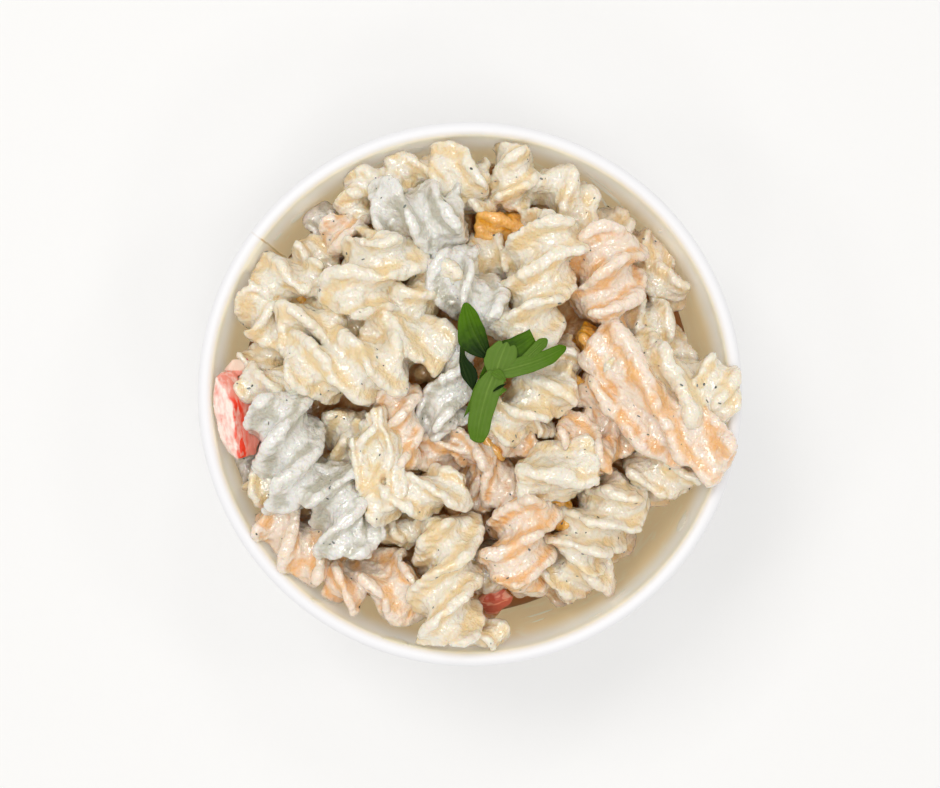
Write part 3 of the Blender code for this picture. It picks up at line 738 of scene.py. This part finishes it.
def paperMaterial():
    # the film inside glows with the light behind it, the outside is plain paper
    material, tree, shader = newMaterial("coatedPaper", paperFinish)
    place = put(tree, "ShaderNodeTexCoord").outputs["Object"]
    x, y, z = put(tree, "ShaderNodeSeparateXYZ", {0: place}).outputs
    out = outFrom(tree, x, y)
    crest = curlMiddle[0] - 0.2 * bowl["curl"]
    inLip = smoothStep(tree, out, crest, crest - 1.6 * mm)
    inWall = smoothStep(tree, minus(tree, wallMiddle(tree, z), out), -0.1 * mm, 0.1 * mm)
    high = smoothStep(tree, z, curlMiddle[1] - 0.4 * mm, curlMiddle[1] + 0.2 * mm)
    film = calc(tree, "MAXIMUM", inWall, times(tree, inLip, high), clamp=True)
    # towards the bottom the wall turns warm tan: partly dressing film, partly painted shade of the salad and
    # the warm light it bounces
    depth = smoothStep(tree, z, rimZ - filmLooks["deepFrom"], rimZ - filmLooks["deepAt"])
    filmAndPaintedShade = mixed(tree, depth, filmLooks["top"], filmLooks["deep"])
    cloud = smoothStep(tree, noiseField(tree, place, 7 * mm, 5.0, 3.0, 1.0), 0.5, 0.75, 0.0, 0.35)
    smeared = smearMask(tree, place)
    patches = plus(tree, cloud, times(tree, smeared, 0.75), clamp=True)
    smudged = mixed(tree, patches, filmAndPaintedShade, filmLooks["smudge"])
    dry = mixed(tree, film, filmLooks["lip"], smudged)
    lined = mixed(tree, seamMask(tree, place, x, y, film), dry, filmLooks["seam"])
    tree.links.new(lined, shader["Base Color"])
    fibre = noiseField(tree, place, 1.5 * mm, 2.0, 4.0)
    paper = bumped(tree, fibre, filmLooks["fibreBump"], 0.5)
    tree.links.new(bumped(tree, smeared, filmLooks["smearBump"], over=paper), shader["Normal"])
    tree.links.new(film, shader["Subsurface Weight"])
    return material


def bowlPiece():
    floor = bowl["skirt"] + bowl["wall"]
    turn = bowl["floorTurn"]
    rows, underRows = bowl["rows"], bowl["underRows"]
    profile = [(0.0, floor), (20 * mm, floor), (wallInside(floor) - turn, floor)]
    profile.append((wallInside(floor + turn), floor + turn))
    for i in range(1, rows):
        z = floor + turn + (curlMiddle[1] - floor - turn) * i / rows
        profile.append((wallInside(z), z))
    for i in range(rows + 1):
        angle = math.radians(bowl["lipFrom"] + (bowl["lipTo"] - bowl["lipFrom"]) * i / rows)
        profile.append((curlMiddle[0] + bowl["curl"] * math.cos(angle),
                        curlMiddle[1] + bowl["curl"] * math.sin(angle)))
    underLip = curlMiddle[1] - bowl["curl"] * 1.5
    for i in range(underRows + 1):
        z = underLip + (bowl["skirt"] - underLip) * i / underRows
        profile.append((wallOutside(z), z))
    profile += [(wallOutside(0), 0.0), (wallOutside(0) - 2 * bowl["wall"], 0.0),
                (wallOutside(bowl["skirt"]) - 2 * bowl["wall"], bowl["skirt"]), (0.0, bowl["skirt"])]
    seam = math.radians(bowl["seamAngle"])
    lapEnd = seam + math.radians(bowl["seamLap"])
    hair = math.radians(0.12)
    angles = sorted(evenAngles(bowl["steps"]) + [seam - hair, seam + hair, lapEnd - hair, lapEnd + hair])

    def lap(radius, z, angle):
        doubled = seam < angle < lapEnd and floor < z < curlMiddle[1] + bowl["curl"] * 0.9
        if not doubled:
            return radius, z
        if radius < curlMiddle[0] and radius <= wallInside(z) + 0.01 * mm:
            return radius - bowl["seamStep"], z
        return radius, z
    mesh = turnedMesh("paperBowl", profile, angles, lap)
    mesh.materials.append(paperMaterial())
    return addPiece("paperBowl", mesh, ["bowl"])


bowlPiece()

# Crab stick: torn blocks, pale inside and red along the outside

crabVoxel = 0.28 * mm
crabDressing = {
    **dressingShape, "Soften": 1, "Swell Height": 0.3 * mm, "Swell Size": 4.0 * mm, "Lump Height": 0.3 * mm,
    "Lump Size": 1.5 * mm, "Grain Height": 0.1 * mm, "Grain Size": 0.6 * mm, "Coat Height": 0.05 * mm,
}

# each block is the hull of its ridge, its edges and its underside, in mm with z from the rim
crabSide = [
    [(-53.6, 3.5, -0.4), (-51.4, 1.4, 0.9), (-49.8, -3.0, 1.2), (-49.2, -8.0, 0.9), (-49.0, -13.8, -1.0),
     (-54.2, -1.6, -0.6), (-53.2, -8.2, -1.4), (-51.4, -12.0, -2.2), (-52.4, 4.8, -1.6), (-50.2, 4.8, -2.4),
     (-47.4, 1.2, -2.2), (-45.8, -1.6, -2.2), (-45.4, -7.5, -2.6), (-44.6, -9.8, -3.2), (-45.4, -12.8, -3.0),
     (-52.6, 3.0, -5.4), (-52.6, -6.0, -5.6), (-50.4, -12.0, -5.6), (-46.8, -11.5, -5.8),
     (-47.0, -1.0, -5.4)],
    [(-52.6, 5.0, -3.0), (-50.6, 7.3, -3.2), (-47.3, 7.8, -3.6), (-46.2, 5.8, -3.6), (-48.8, 3.6, -3.0),
     (-51.6, 5.2, -6.4), (-47.6, 6.4, -6.8), (-48.8, 4.0, -6.6)],
]
crabLow = [
    [(1.8, -44.6, -11.6), (4.4, -42.2, -11.2), (7.4, -42.2, -11.4), (9.6, -44.4, -12.4), (8.8, -46.0, -13.2),
     (5.8, -48.0, -13.4), (3.4, -48.4, -13.6), (5.6, -44.8, -10.8), (2.4, -44.4, -15.8), (8.0, -44.0, -15.8),
     (5.2, -47.2, -16.2)],
    [(0.6, -40.6, -12.6), (4.2, -39.6, -12.4), (5.0, -42.6, -12.2), (1.4, -43.6, -12.8), (2.8, -41.6, -15.8)],
]


def hullPiece(name, blocks, material, seed, replacing):
    work = bmesh.new()
    for block in blocks:
        corners = [work.verts.new(Vector(corner) * mm + Vector((0, 0, rimZ))) for corner in block]
        made = bmesh.ops.convex_hull(work, input=corners)
        inner = [part for part in made["geom_interior"] if isinstance(part, bmesh.types.BMVert)]
        bmesh.ops.delete(work, geom=inner)
    bareMesh = bpy.data.meshes.new(name + "Bare")
    work.to_mesh(bareMesh)
    work.free()
    return dressedPiece(name, bareMesh, crabVoxel, crabDressing, material, seed, [replacing])


crabFinish = {
    "Roughness": 0.4, "Subsurface Weight": 0.4, "Subsurface Radius": (1.0, 0.5, 0.4),
    "Subsurface Scale": 1.2 * mm, "Coat Weight": 0.4, "Coat Roughness": 0.15,
}


def crabMaterial(name, looks):
    # the sides are told apart by how far a point is across the stick from its ridge
    material, tree, shader = newMaterial(name, crabFinish)
    place = put(tree, "ShaderNodeTexCoord").outputs["Object"]
    heading = -math.radians(looks["heading"])
    laid = put(tree, "ShaderNodeMapping", {"Vector": place, "Rotation": (0, 0, heading)}).outputs[0]
    fibres = put(tree, "ShaderNodeMapping", {"Vector": laid, "Scale": (0.22, 1, 1)}).outputs[0]
    strand = noiseField(tree, fibres, 0.7 * mm, 1.0, 3.0)
    blotch = noiseField(tree, laid, 3.0 * mm, 2.0, 2.0, 0.8)
    x, y, z = put(tree, "ShaderNodeSeparateXYZ", {0: place}).outputs
    beyond = [minus(tree, x, timesPlus(tree, y, slope, offset)) for offset, slope in looks["ridges"]]
    beyond = calc(tree, "MAXIMUM", *beyond)
    outer = smoothStep(tree, timesPlus(tree, minus(tree, blotch, 0.5), 1.6 * mm, beyond), -0.3 * mm, 0.5 * mm)
    streaks = timesPlus(tree, plus(tree, strand, blotch), 2.2, -2.0)
    flesh = mixed(tree, timesPlus(tree, outer, 0.75, streaks, clamp=True), looks["pale"], looks["pink"])
    band = times(tree, smoothStep(tree, beyond, looks["band"], looks["band"] - 1.0 * mm),
                 smoothStep(tree, y, looks["redBelow"], looks["redBelow"] - 1.5 * mm))
    spots = smoothStep(tree, noiseField(tree, fibres, 1.3 * mm, looks["seed"], 1.5, 0.3), 0.44, 0.50)
    red = mixed(tree, times(tree, times(tree, spots, outer), band), flesh, looks["red"])
    end = smoothStep(tree, y, looks["endAt"] - 0.2 * mm, looks["endAt"] + 0.2 * mm)
    edge = plus(tree, x, times(tree, y, 0.5))
    rim = smoothStep(tree, edge, looks["endRim"] - 0.3 * mm, looks["endRim"])
    ended = mixed(tree, end, red, mixed(tree, rim, looks["end"], looks["endRed"]))
    tree.links.new(ended, shader["Base Color"])
    tree.links.new(bumped(tree, strand, 0.25 * mm, 0.8), shader["Normal"])
    return material


crabEnds = {"end": fromSrgb(232, 204, 184), "endRed": fromSrgb(206, 92, 92)}
# ridges: the line x = first + second * y that parts the pale side from the red one; a metre either
# way, as on the low piece, is red all over
sideLooks = {
    "heading": 99, "ridges": ((-51.05 * mm, -0.70), (-50.1 * mm, -0.10)), "band": 2.6 * mm, "redBelow": 0.0,
    "pale": fromSrgb(252, 232, 222), "pink": fromSrgb(238, 146, 128), "red": fromSrgb(244, 62, 24),
    "seed": 3.0, "endAt": 5.0 * mm, "endRim": -43.8 * mm, **crabEnds,
}
lowLooks = {
    "heading": 15, "ridges": ((-1.0, 0.0), (-1.0, 0.0)), "band": 2.0, "redBelow": 1.0,
    "pale": fromSrgb(255, 204, 178), "pink": fromSrgb(246, 158, 126), "red": fromSrgb(220, 104, 78),
    "seed": 9.0, "endAt": 1.0, "endRim": 1.0, **crabEnds,
}
hullPiece("crabSide", crabSide, crabMaterial("crabStick", sideLooks), 5.0, "crab_stick_side")
hullPiece("crabLow", crabLow, crabMaterial("crabStickLow", lowLooks), 6.0, "crab_stick_low")

# Parsley: leaflets round a vein, each a thin wavy solid with a toothed tip

leafShape = {
    "along": 44, "across": 24, "thick": 0.32 * mm, "edge": 0.35, "arch": 0.10, "wave": 0.35 * mm,
    "waveSize": 3.2 * mm, "rib": 0.10 * mm, "ribs": 18.0, "droop": 1.0 * mm,
}

# base, tip, the middle's bow to the left, half width left and right at even stations, lean,
# tone at base and tip (-1 dark, as painted shade; 0 bright; 1 greyish), how far the tip's sides fall short,
# teeth, their depth
leaflets = {
    "upper": ((4.1, 7.2, 8.4), (-1.0, 18.7, 9.0), 0.9, (0.3, 2.1, 3.3, 3.6, 3.4, 2.8, 2.1, 1.1),
              (0.3, 1.2, 1.9, 2.3, 2.5, 2.3, 1.8, 0.9), 10, (-1.0, 0.15), 0.06, 0, 0.0),
    "shaded": ((-1.8, 11.0, 6.8), (0.6, 0.4, 5.8), -0.9, (0.5, 0.9, 0.9, 1.5, 2.3, 2.5, 2.0, 0.4),
               (0.2, 0.3, 0.4, 0.6, 0.9, 1.2, 0.9, 0.3), 30, (-0.6, -1.3), 0.1, 0, 0.0),
    "square": ((4.0, 7.2, 8.0), (12.9, 11.7, 9.6), -0.5, (0.8, 2.0, 2.5, 2.6, 2.4, 2.2, 2.0, 1.8),
               (0.6, 1.6, 2.5, 3.0, 3.3, 3.1, 2.6, 1.7), -6, (-0.6, -0.25), 0.0, 0, 0.0),
    "fold": ((5.2, 4.0, 9.4), (7.6, 10.5, 10.6), 0.2, (1.8, 2.6, 3.0, 3.1, 3.1, 3.0, 2.7, 2.2),
             (1.6, 2.4, 2.9, 3.1, 3.2, 3.1, 3.0, 2.5), 4, (1.0, 0.9), 0.05, 3, 0.09),
    "lobe": ((9.4, 5.4, 9.4), (15.7, 11.2, 10.6), 0.0, (0.6, 0.8, 0.9, 1.0, 1.0, 1.1, 1.2, 1.1),
             (1.6, 1.8, 1.7, 1.5, 1.2, 1.1, 1.1, 1.1), 4, (0.9, 0.4), 0.14, 0, 0.0),
    "point": ((4.6, 4.4, 9.5), (19.6, 9.6, 10.4), -0.7, (1.2, 1.6, 1.8, 1.9, 1.8, 1.4, 1.2, 1.0),
              (1.0, 1.6, 1.9, 1.9, 1.9, 2.0, 1.9, 1.2), -4, (0.9, 0.15), 0.08, 0, 0.0),
    "broad": ((5.0, 4.6, 9.8), (1.2, -10.0, 7.6), -0.5, (1.8, 2.7, 2.7, 2.6, 2.5, 2.4, 2.2, 1.5),
              (1.2, 2.2, 2.6, 2.7, 2.6, 2.5, 2.2, 1.5), 8, (0.9, 0.4), 0.03, 0, 0.0),
    # a thin dark strip lying on the leaves: a painted shadow of a fold
    "creaseShadow": ((4.7, 0.5, 9.7), (7.4, 2.1, 9.9), 0.1, (0.1, 0.25, 0.3, 0.15), (0.1, 0.25, 0.3, 0.15), 0,
               (-1.2, -1.2), 0.1, 0, 0.0),
    "side": ((2.6, 2.6, 9.0), (-1.4, -4.9, 6.4), 0.4, (0.9, 1.1, 1.1, 1.0, 0.8, 0.6, 0.4, 0.1),
             (0.9, 1.2, 1.3, 1.2, 1.0, 0.8, 0.5, 0.1), 12, (0.5, 0.3), 0.1, 0, 0.0),
    "nib": ((4.6, 4.6, 9.9), (7.4, 2.4, 9.7), 0.2, (0.5, 0.9, 1.1, 1.1, 1.0, 0.9, 0.7, 0.3),
            (0.5, 0.8, 0.9, 0.9, 0.8, 0.7, 0.5, 0.2), 0, (0.5, 0.5), 0.1, 2, 0.1),
    "notch": ((4.8, 0.9, 9.0), (7.5, 0.9, 9.3), 0.0, (0.5, 0.7, 0.8, 0.8, 0.7, 0.6, 0.4, 0.2),
              (0.6, 1.2, 1.5, 1.4, 1.2, 0.9, 0.6, 0.3), 0, (0.3, 0.4), 0.1, 0, 0.0),
    "stalk": ((2.2, 3.0, 7.6), (4.6, 7.6, 9.0), 0.2, (0.45, 0.45), (0.45, 0.45), 0,
              (-0.4, -0.2), 0.0, 0, 0.0),
}


def between(values, share):
    # a smooth curve through evenly spaced values
    spot = share * (len(values) - 1)
    low = min(int(spot), len(values) - 2)
    t = spot - low
    first, second = values[low], values[low + 1]
    before = values[low - 1] if low else 2 * first - second
    after = values[low + 2] if low + 2 < len(values) else 2 * second - first
    bend = 2 * before - 5 * first + 4 * second - after
    twist = 3 * (first - second) + after - before
    return 0.5 * (2 * first + (second - before) * t + bend * t**2 + twist * t**3)


def leafAxes(values):
    # where a leaflet starts, how it runs, and its left and up, leant round its vein
    base, tip = (Vector(spot) * mm + Vector((0, 0, rimZ)) for spot in values[:2])
    run = tip - base
    left = Vector((-run.y, run.x, 0.0)).normalized()
    up = run.cross(left).normalized() * -1
    if up.z < 0:
        up = -up
    tilted = Matrix.Rotation(math.radians(values[5]), 3, run.normalized())
    return base, run, tilted @ left, tilted @ up


def leafSheet(work, number, values, side):
    # one face of a leaflet, as rows of points from base to tip
    tone = work.verts.layers.float["tone"]
    vein = work.verts.layers.float["vein"]
    base, run, left, up = leafAxes(values)
    bow, lefts, rights = values[2:5]
    tones, short, teeth, toothDepth = values[6:]
    sheet = []
    for i in range(leafShape["along"] + 1):
        share = i / leafShape["along"]
        row = []
        for j in range(leafShape["across"] + 1):
            u = 1 - 2 * j / leafShape["across"]
            half = between(lefts if u > 0 else rights, share) * mm
            offset = u * half * (1 + 0.025 * math.sin(share * 17 + number) * abs(u) ** 3)
            notch = toothDepth * abs(math.sin(math.pi * teeth * (u + 1) / 2)) - toothDepth if teeth else 0.0
            reached = share * (1 - short * u * u + notch * share)
            middle = base + run * reached + left * bow * mm * math.sin(math.pi * share)
            ribbed = math.cos(u * leafShape["ribs"])
            ribs = ribbed * (1 - abs(u)) * leafShape["rib"]
            height = ribs - leafShape["arch"] * offset * offset / (3 * mm)
            spot = Vector((offset, run.length * share, number * mm)) / leafShape["waveSize"]
            height += leafShape["wave"] * mathNoise.noise(spot)
            height -= leafShape["droop"] * (share - 0.4) ** 2
            thick = leafShape["edge"] if abs(u) > 0.999 or i in (0, leafShape["along"]) else 1.0
            rise = up * (height + side * thick * leafShape["thick"] / 2)
            point = work.verts.new(middle + left * offset + rise)
            point[tone] = tones[0] + (tones[1] - tones[0]) * share
            point[vein] = max(0.0, 1 - abs(u) * 9) * (1 - share) + 0.35 * max(0.0, ribbed) * (1 - abs(u))
            row.append(point)
        sheet.append(row)
    return sheet


def parsleyPiece():
    work = bmesh.new()
    work.verts.layers.float.new("tone")
    work.verts.layers.float.new("vein")
    steps, wide = leafShape["along"], leafShape["across"]
    loop = [(0, j) for j in range(wide)] + [(i, wide) for i in range(steps)]
    loop += [(steps, j) for j in range(wide, 0, -1)] + [(i, 0) for i in range(steps, 0, -1)]
    for number, values in enumerate(leaflets.values()):
        top, bottom = (leafSheet(work, number, values, side) for side in (1, -1))
        for rows, flip in ((top, False), (bottom, True)):
            for i in range(steps):
                for j in range(wide):
                    corners = (rows[i][j], rows[i][j + 1], rows[i + 1][j + 1], rows[i + 1][j])
                    work.faces.new(corners[::-1] if flip else corners)
        for (a, b), (c, d) in zip(loop, loop[1:] + loop[:1]):
            work.faces.new((top[a][b], bottom[a][b], bottom[c][d], top[c][d]))
    bmesh.ops.recalc_face_normals(work, faces=work.faces)
    mesh = bpy.data.meshes.new("parsleySprig")
    work.to_mesh(mesh)
    work.free()
    mesh.shade_smooth()
    mesh.materials.append(parsleyMaterial())
    return addPiece("parsleySprig", mesh, ["parsley"])


leafLooks = {
    "dark": fromSrgb(16, 40, 0), "bright": fromSrgb(72, 110, 0), "grey": fromSrgb(92, 122, 44),
    "vein": fromSrgb(146, 172, 84),
}
leafFinish = {
    "Roughness": 0.45, "Specular IOR Level": 0.12, "Subsurface Weight": 0.15,
    "Subsurface Radius": (0.5, 1.0, 0.2), "Subsurface Scale": 0.6 * mm,
}


def parsleyMaterial():
    material, tree, shader = newMaterial("parsleyLeaf", leafFinish)
    place = put(tree, "ShaderNodeTexCoord").outputs["Object"]
    tone = put(tree, "ShaderNodeAttribute", attribute_name="tone").outputs["Fac"]
    veined = put(tree, "ShaderNodeAttribute", attribute_name="vein").outputs["Fac"]
    mottle = timesPlus(tree, noiseField(tree, place, 1.2 * mm, 1.0, 4.0), 0.6, -0.3)
    shade = plus(tree, tone, mottle)
    grey = smoothStep(tree, shade, 0.0, 0.9)
    lit = mixed(tree, grey, leafLooks["bright"], leafLooks["grey"])
    # mixing towards dark is painted shade: on the leaflet hanging in shadow and near where the leaflets meet
    leaf = mixed(tree, smoothStep(tree, shade, 0.0, -0.9), lit, leafLooks["dark"])
    strength = times(tree, veined, timesPlus(tree, grey, 0.2, 0.1), clamp=True)
    tree.links.new(mixed(tree, strength, leaf, leafLooks["vein"]), shader["Base Color"])
    grain = noiseField(tree, place, 0.35 * mm, 2.0, 2.0)
    tree.links.new(bumped(tree, grain, 0.04 * mm, 0.7), shader["Normal"])
    return material


parsleyPiece()

# Herb flecks strewn over the dressing, each a flattened grain of its own size and turn

flecks = {"Density": 17000.0, "Grain Size": 0.3 * mm, "Clump Size": 7 * mm, "Seed": 4}
fleckLooks = {"dark": fromSrgb(50, 56, 46), "pale": fromSrgb(132, 140, 134)}


def fleckTree():
    tree, ask, end = newTree("flecks", flecks, {"Dressed": "Collection", "Material": "Material"})
    gathered = put(tree, "GeometryNodeCollectionInfo", {"Collection": ask["Dressed"]},
                   transform_space="ORIGINAL")
    surface = put(tree, "GeometryNodeRealizeInstances", {"Geometry": gathered.outputs[0]}).outputs[0]
    normal = put(tree, "GeometryNodeInputNormal").outputs[0]
    facing = put(tree, "ShaderNodeSeparateXYZ", {0: normal}).outputs[2]
    place = put(tree, "GeometryNodeInputPosition").outputs[0]
    clump = smoothStep(tree, noiseField(tree, place, ask["Clump Size"], 2.0, 1.0), 0.42, 0.62, 0.25, 1.6)
    upward = put(tree, "FunctionNodeCompare", {0: facing, 1: 0.1}, data_type="FLOAT",
                 operation="GREATER_THAN")
    strewn = put(tree, "GeometryNodeDistributePointsOnFaces", {
        "Mesh": surface, "Selection": upward.outputs[0], "Density": times(tree, clump, ask["Density"]),
        "Seed": ask["Seed"]}, distribute_method="RANDOM")
    ball = {"Radius": ask["Grain Size"], "Subdivisions": 2}
    grain = put(tree, "GeometryNodeMeshIcoSphere", ball).outputs[0]
    rough = timesPlus(tree, noiseField(tree, place, 0.25 * mm, 3.0, 1.0), 0.9, 0.45)
    shaped = moved(tree, grain, "Position", stretch(tree, place, rough))
    index = put(tree, "GeometryNodeInputIndex").outputs[0]
    turn = put(tree, "FunctionNodeRandomValue", {2: 0.0, 3: 6.283, "ID": index, "Seed": 1}, data_type="FLOAT")
    spun = put(tree, "ShaderNodeCombineXYZ", {2: turn.outputs[1]}).outputs[0]
    rotated = put(tree, "FunctionNodeRotateRotation", {
        0: strewn.outputs["Rotation"], 1: put(tree, "FunctionNodeEulerToRotation", {0: spun}).outputs[0]},
        rotation_space="LOCAL")
    sizes = put(tree, "FunctionNodeRandomValue", {0: (0.45, 0.3, 0.18), 1: (1.8, 1.0, 0.5), "Seed": 2},
                data_type="FLOAT_VECTOR").outputs[0]
    spots = {"Points": strewn.outputs[0], "Instance": shaped, "Rotation": rotated.outputs[0], "Scale": sizes}
    laid = put(tree, "GeometryNodeInstanceOnPoints", spots).outputs[0]
    tone = put(tree, "FunctionNodeRandomValue", {2: 0.0, 3: 1.0, "Seed": 3}, data_type="FLOAT").outputs[1]
    return finishTree(tree, stored(tree, laid, "tone", tone, domain="INSTANCE"), ask, end)


def fleckMaterial():
    material, tree, shader = newMaterial("herbFleck", {"Roughness": 0.5})
    tone = put(tree, "ShaderNodeAttribute", attribute_name="tone").outputs["Fac"]
    tree.links.new(mixed(tree, tone, fleckLooks["dark"], fleckLooks["pale"]), shader["Base Color"])
    return material


def fleckPiece():
    dressed = bpy.data.collections.new("dressed")
    for piece in shown:
        dressed.objects.link(piece)
    carrier = addObject("fleckCarrier", bpy.data.meshes.new("fleckCarrier"))
    mesh = grow(carrier, fleckTree(), {**flecks, "Dressed": dressed, "Material": fleckMaterial()})
    bpy.data.objects.remove(carrier, do_unlink=True)
    bpy.data.collections.remove(dressed)
    return addPiece("herbFlecks", mesh)


fleckPiece()

# Floor, light and camera: headings and heights of the lights in degrees, sizes in metres

studio = {
    "floorHalf": 1.6, "floorDrop": 0.05 * mm, "floorColour": (0.88, 0.88, 0.88, 1), "distance": 1.0,
    "air": (1.0, 0.99, 0.97), "airStrength": 0.73,
}
lights = {
    "window": {"heading": 132, "height": 64, "size": 0.32, "watts": 1.85, "colour": (1.0, 0.98, 0.95)},
    "ceiling": {"heading": -70, "height": 78, "size": 0.24, "watts": 1.2, "colour": studio["air"]},
}
for step, heading in enumerate((72, 12, -48, -108, 192)):
    lamp = {"heading": heading, "height": 56, "size": 0.14, "watts": 0.34, "colour": studio["air"]}
    lights["lamp" + str(step)] = lamp


def addFloor():
    half = studio["floorHalf"]
    mesh = bpy.data.meshes.new("floor")
    corners = [(-half, -half, 0), (half, -half, 0), (half, half, 0), (-half, half, 0)]
    mesh.from_pydata(corners, [], [(0, 1, 2, 3)])
    material, _, _ = newMaterial("paleFloor", {"Base Color": studio["floorColour"], "Roughness": 0.9})
    mesh.materials.append(material)
    floor = addObject("floor", mesh)
    floor.location.z = -studio["floorDrop"]


def addLight(name, values):
    data = bpy.data.lights.new(name, "AREA")
    data.shape = "SQUARE"
    data.size = values["size"]
    data.energy = values["watts"]
    data.color = values["colour"]
    lamp = addObject(name, data)
    heading, height = math.radians(values["heading"]), math.radians(values["height"])
    flat, rise = studio["distance"] * math.cos(height), studio["distance"] * math.sin(height)
    lamp.location = (flat * math.cos(heading), flat * math.sin(heading), rimZ + rise)
    aim = Vector((0, 0, rimZ)) - lamp.location
    lamp.rotation_euler = aim.to_track_quat("-Z", "Y").to_euler()


def addWorld():
    world = bpy.data.worlds.new("softStudio")
    world.use_nodes = True
    background = world.node_tree.nodes["Background"].inputs
    background["Color"].default_value = (*studio["air"], 1)
    background["Strength"].default_value = studio["airStrength"]
    bpy.context.scene.world = world


def addCamera():
    data = bpy.data.cameras.new("camera")
    data.sensor_width = lookFrom["sensor"]
    data.lens = lookFrom["sensor"] * lookFrom["height"] / lookFrom["rimPlaneWidth"]
    data.clip_start = 0.01
    camera = addObject("camera", data)
    camera.location = (0, 0, rimZ + lookFrom["height"])
    bpy.context.scene.camera = camera


addFloor()
for name, values in lights.items():
    addLight(name, values)
addWorld()
addCamera()
bpy.context.scene.view_settings.view_transform = "Standard"
print("stage set")
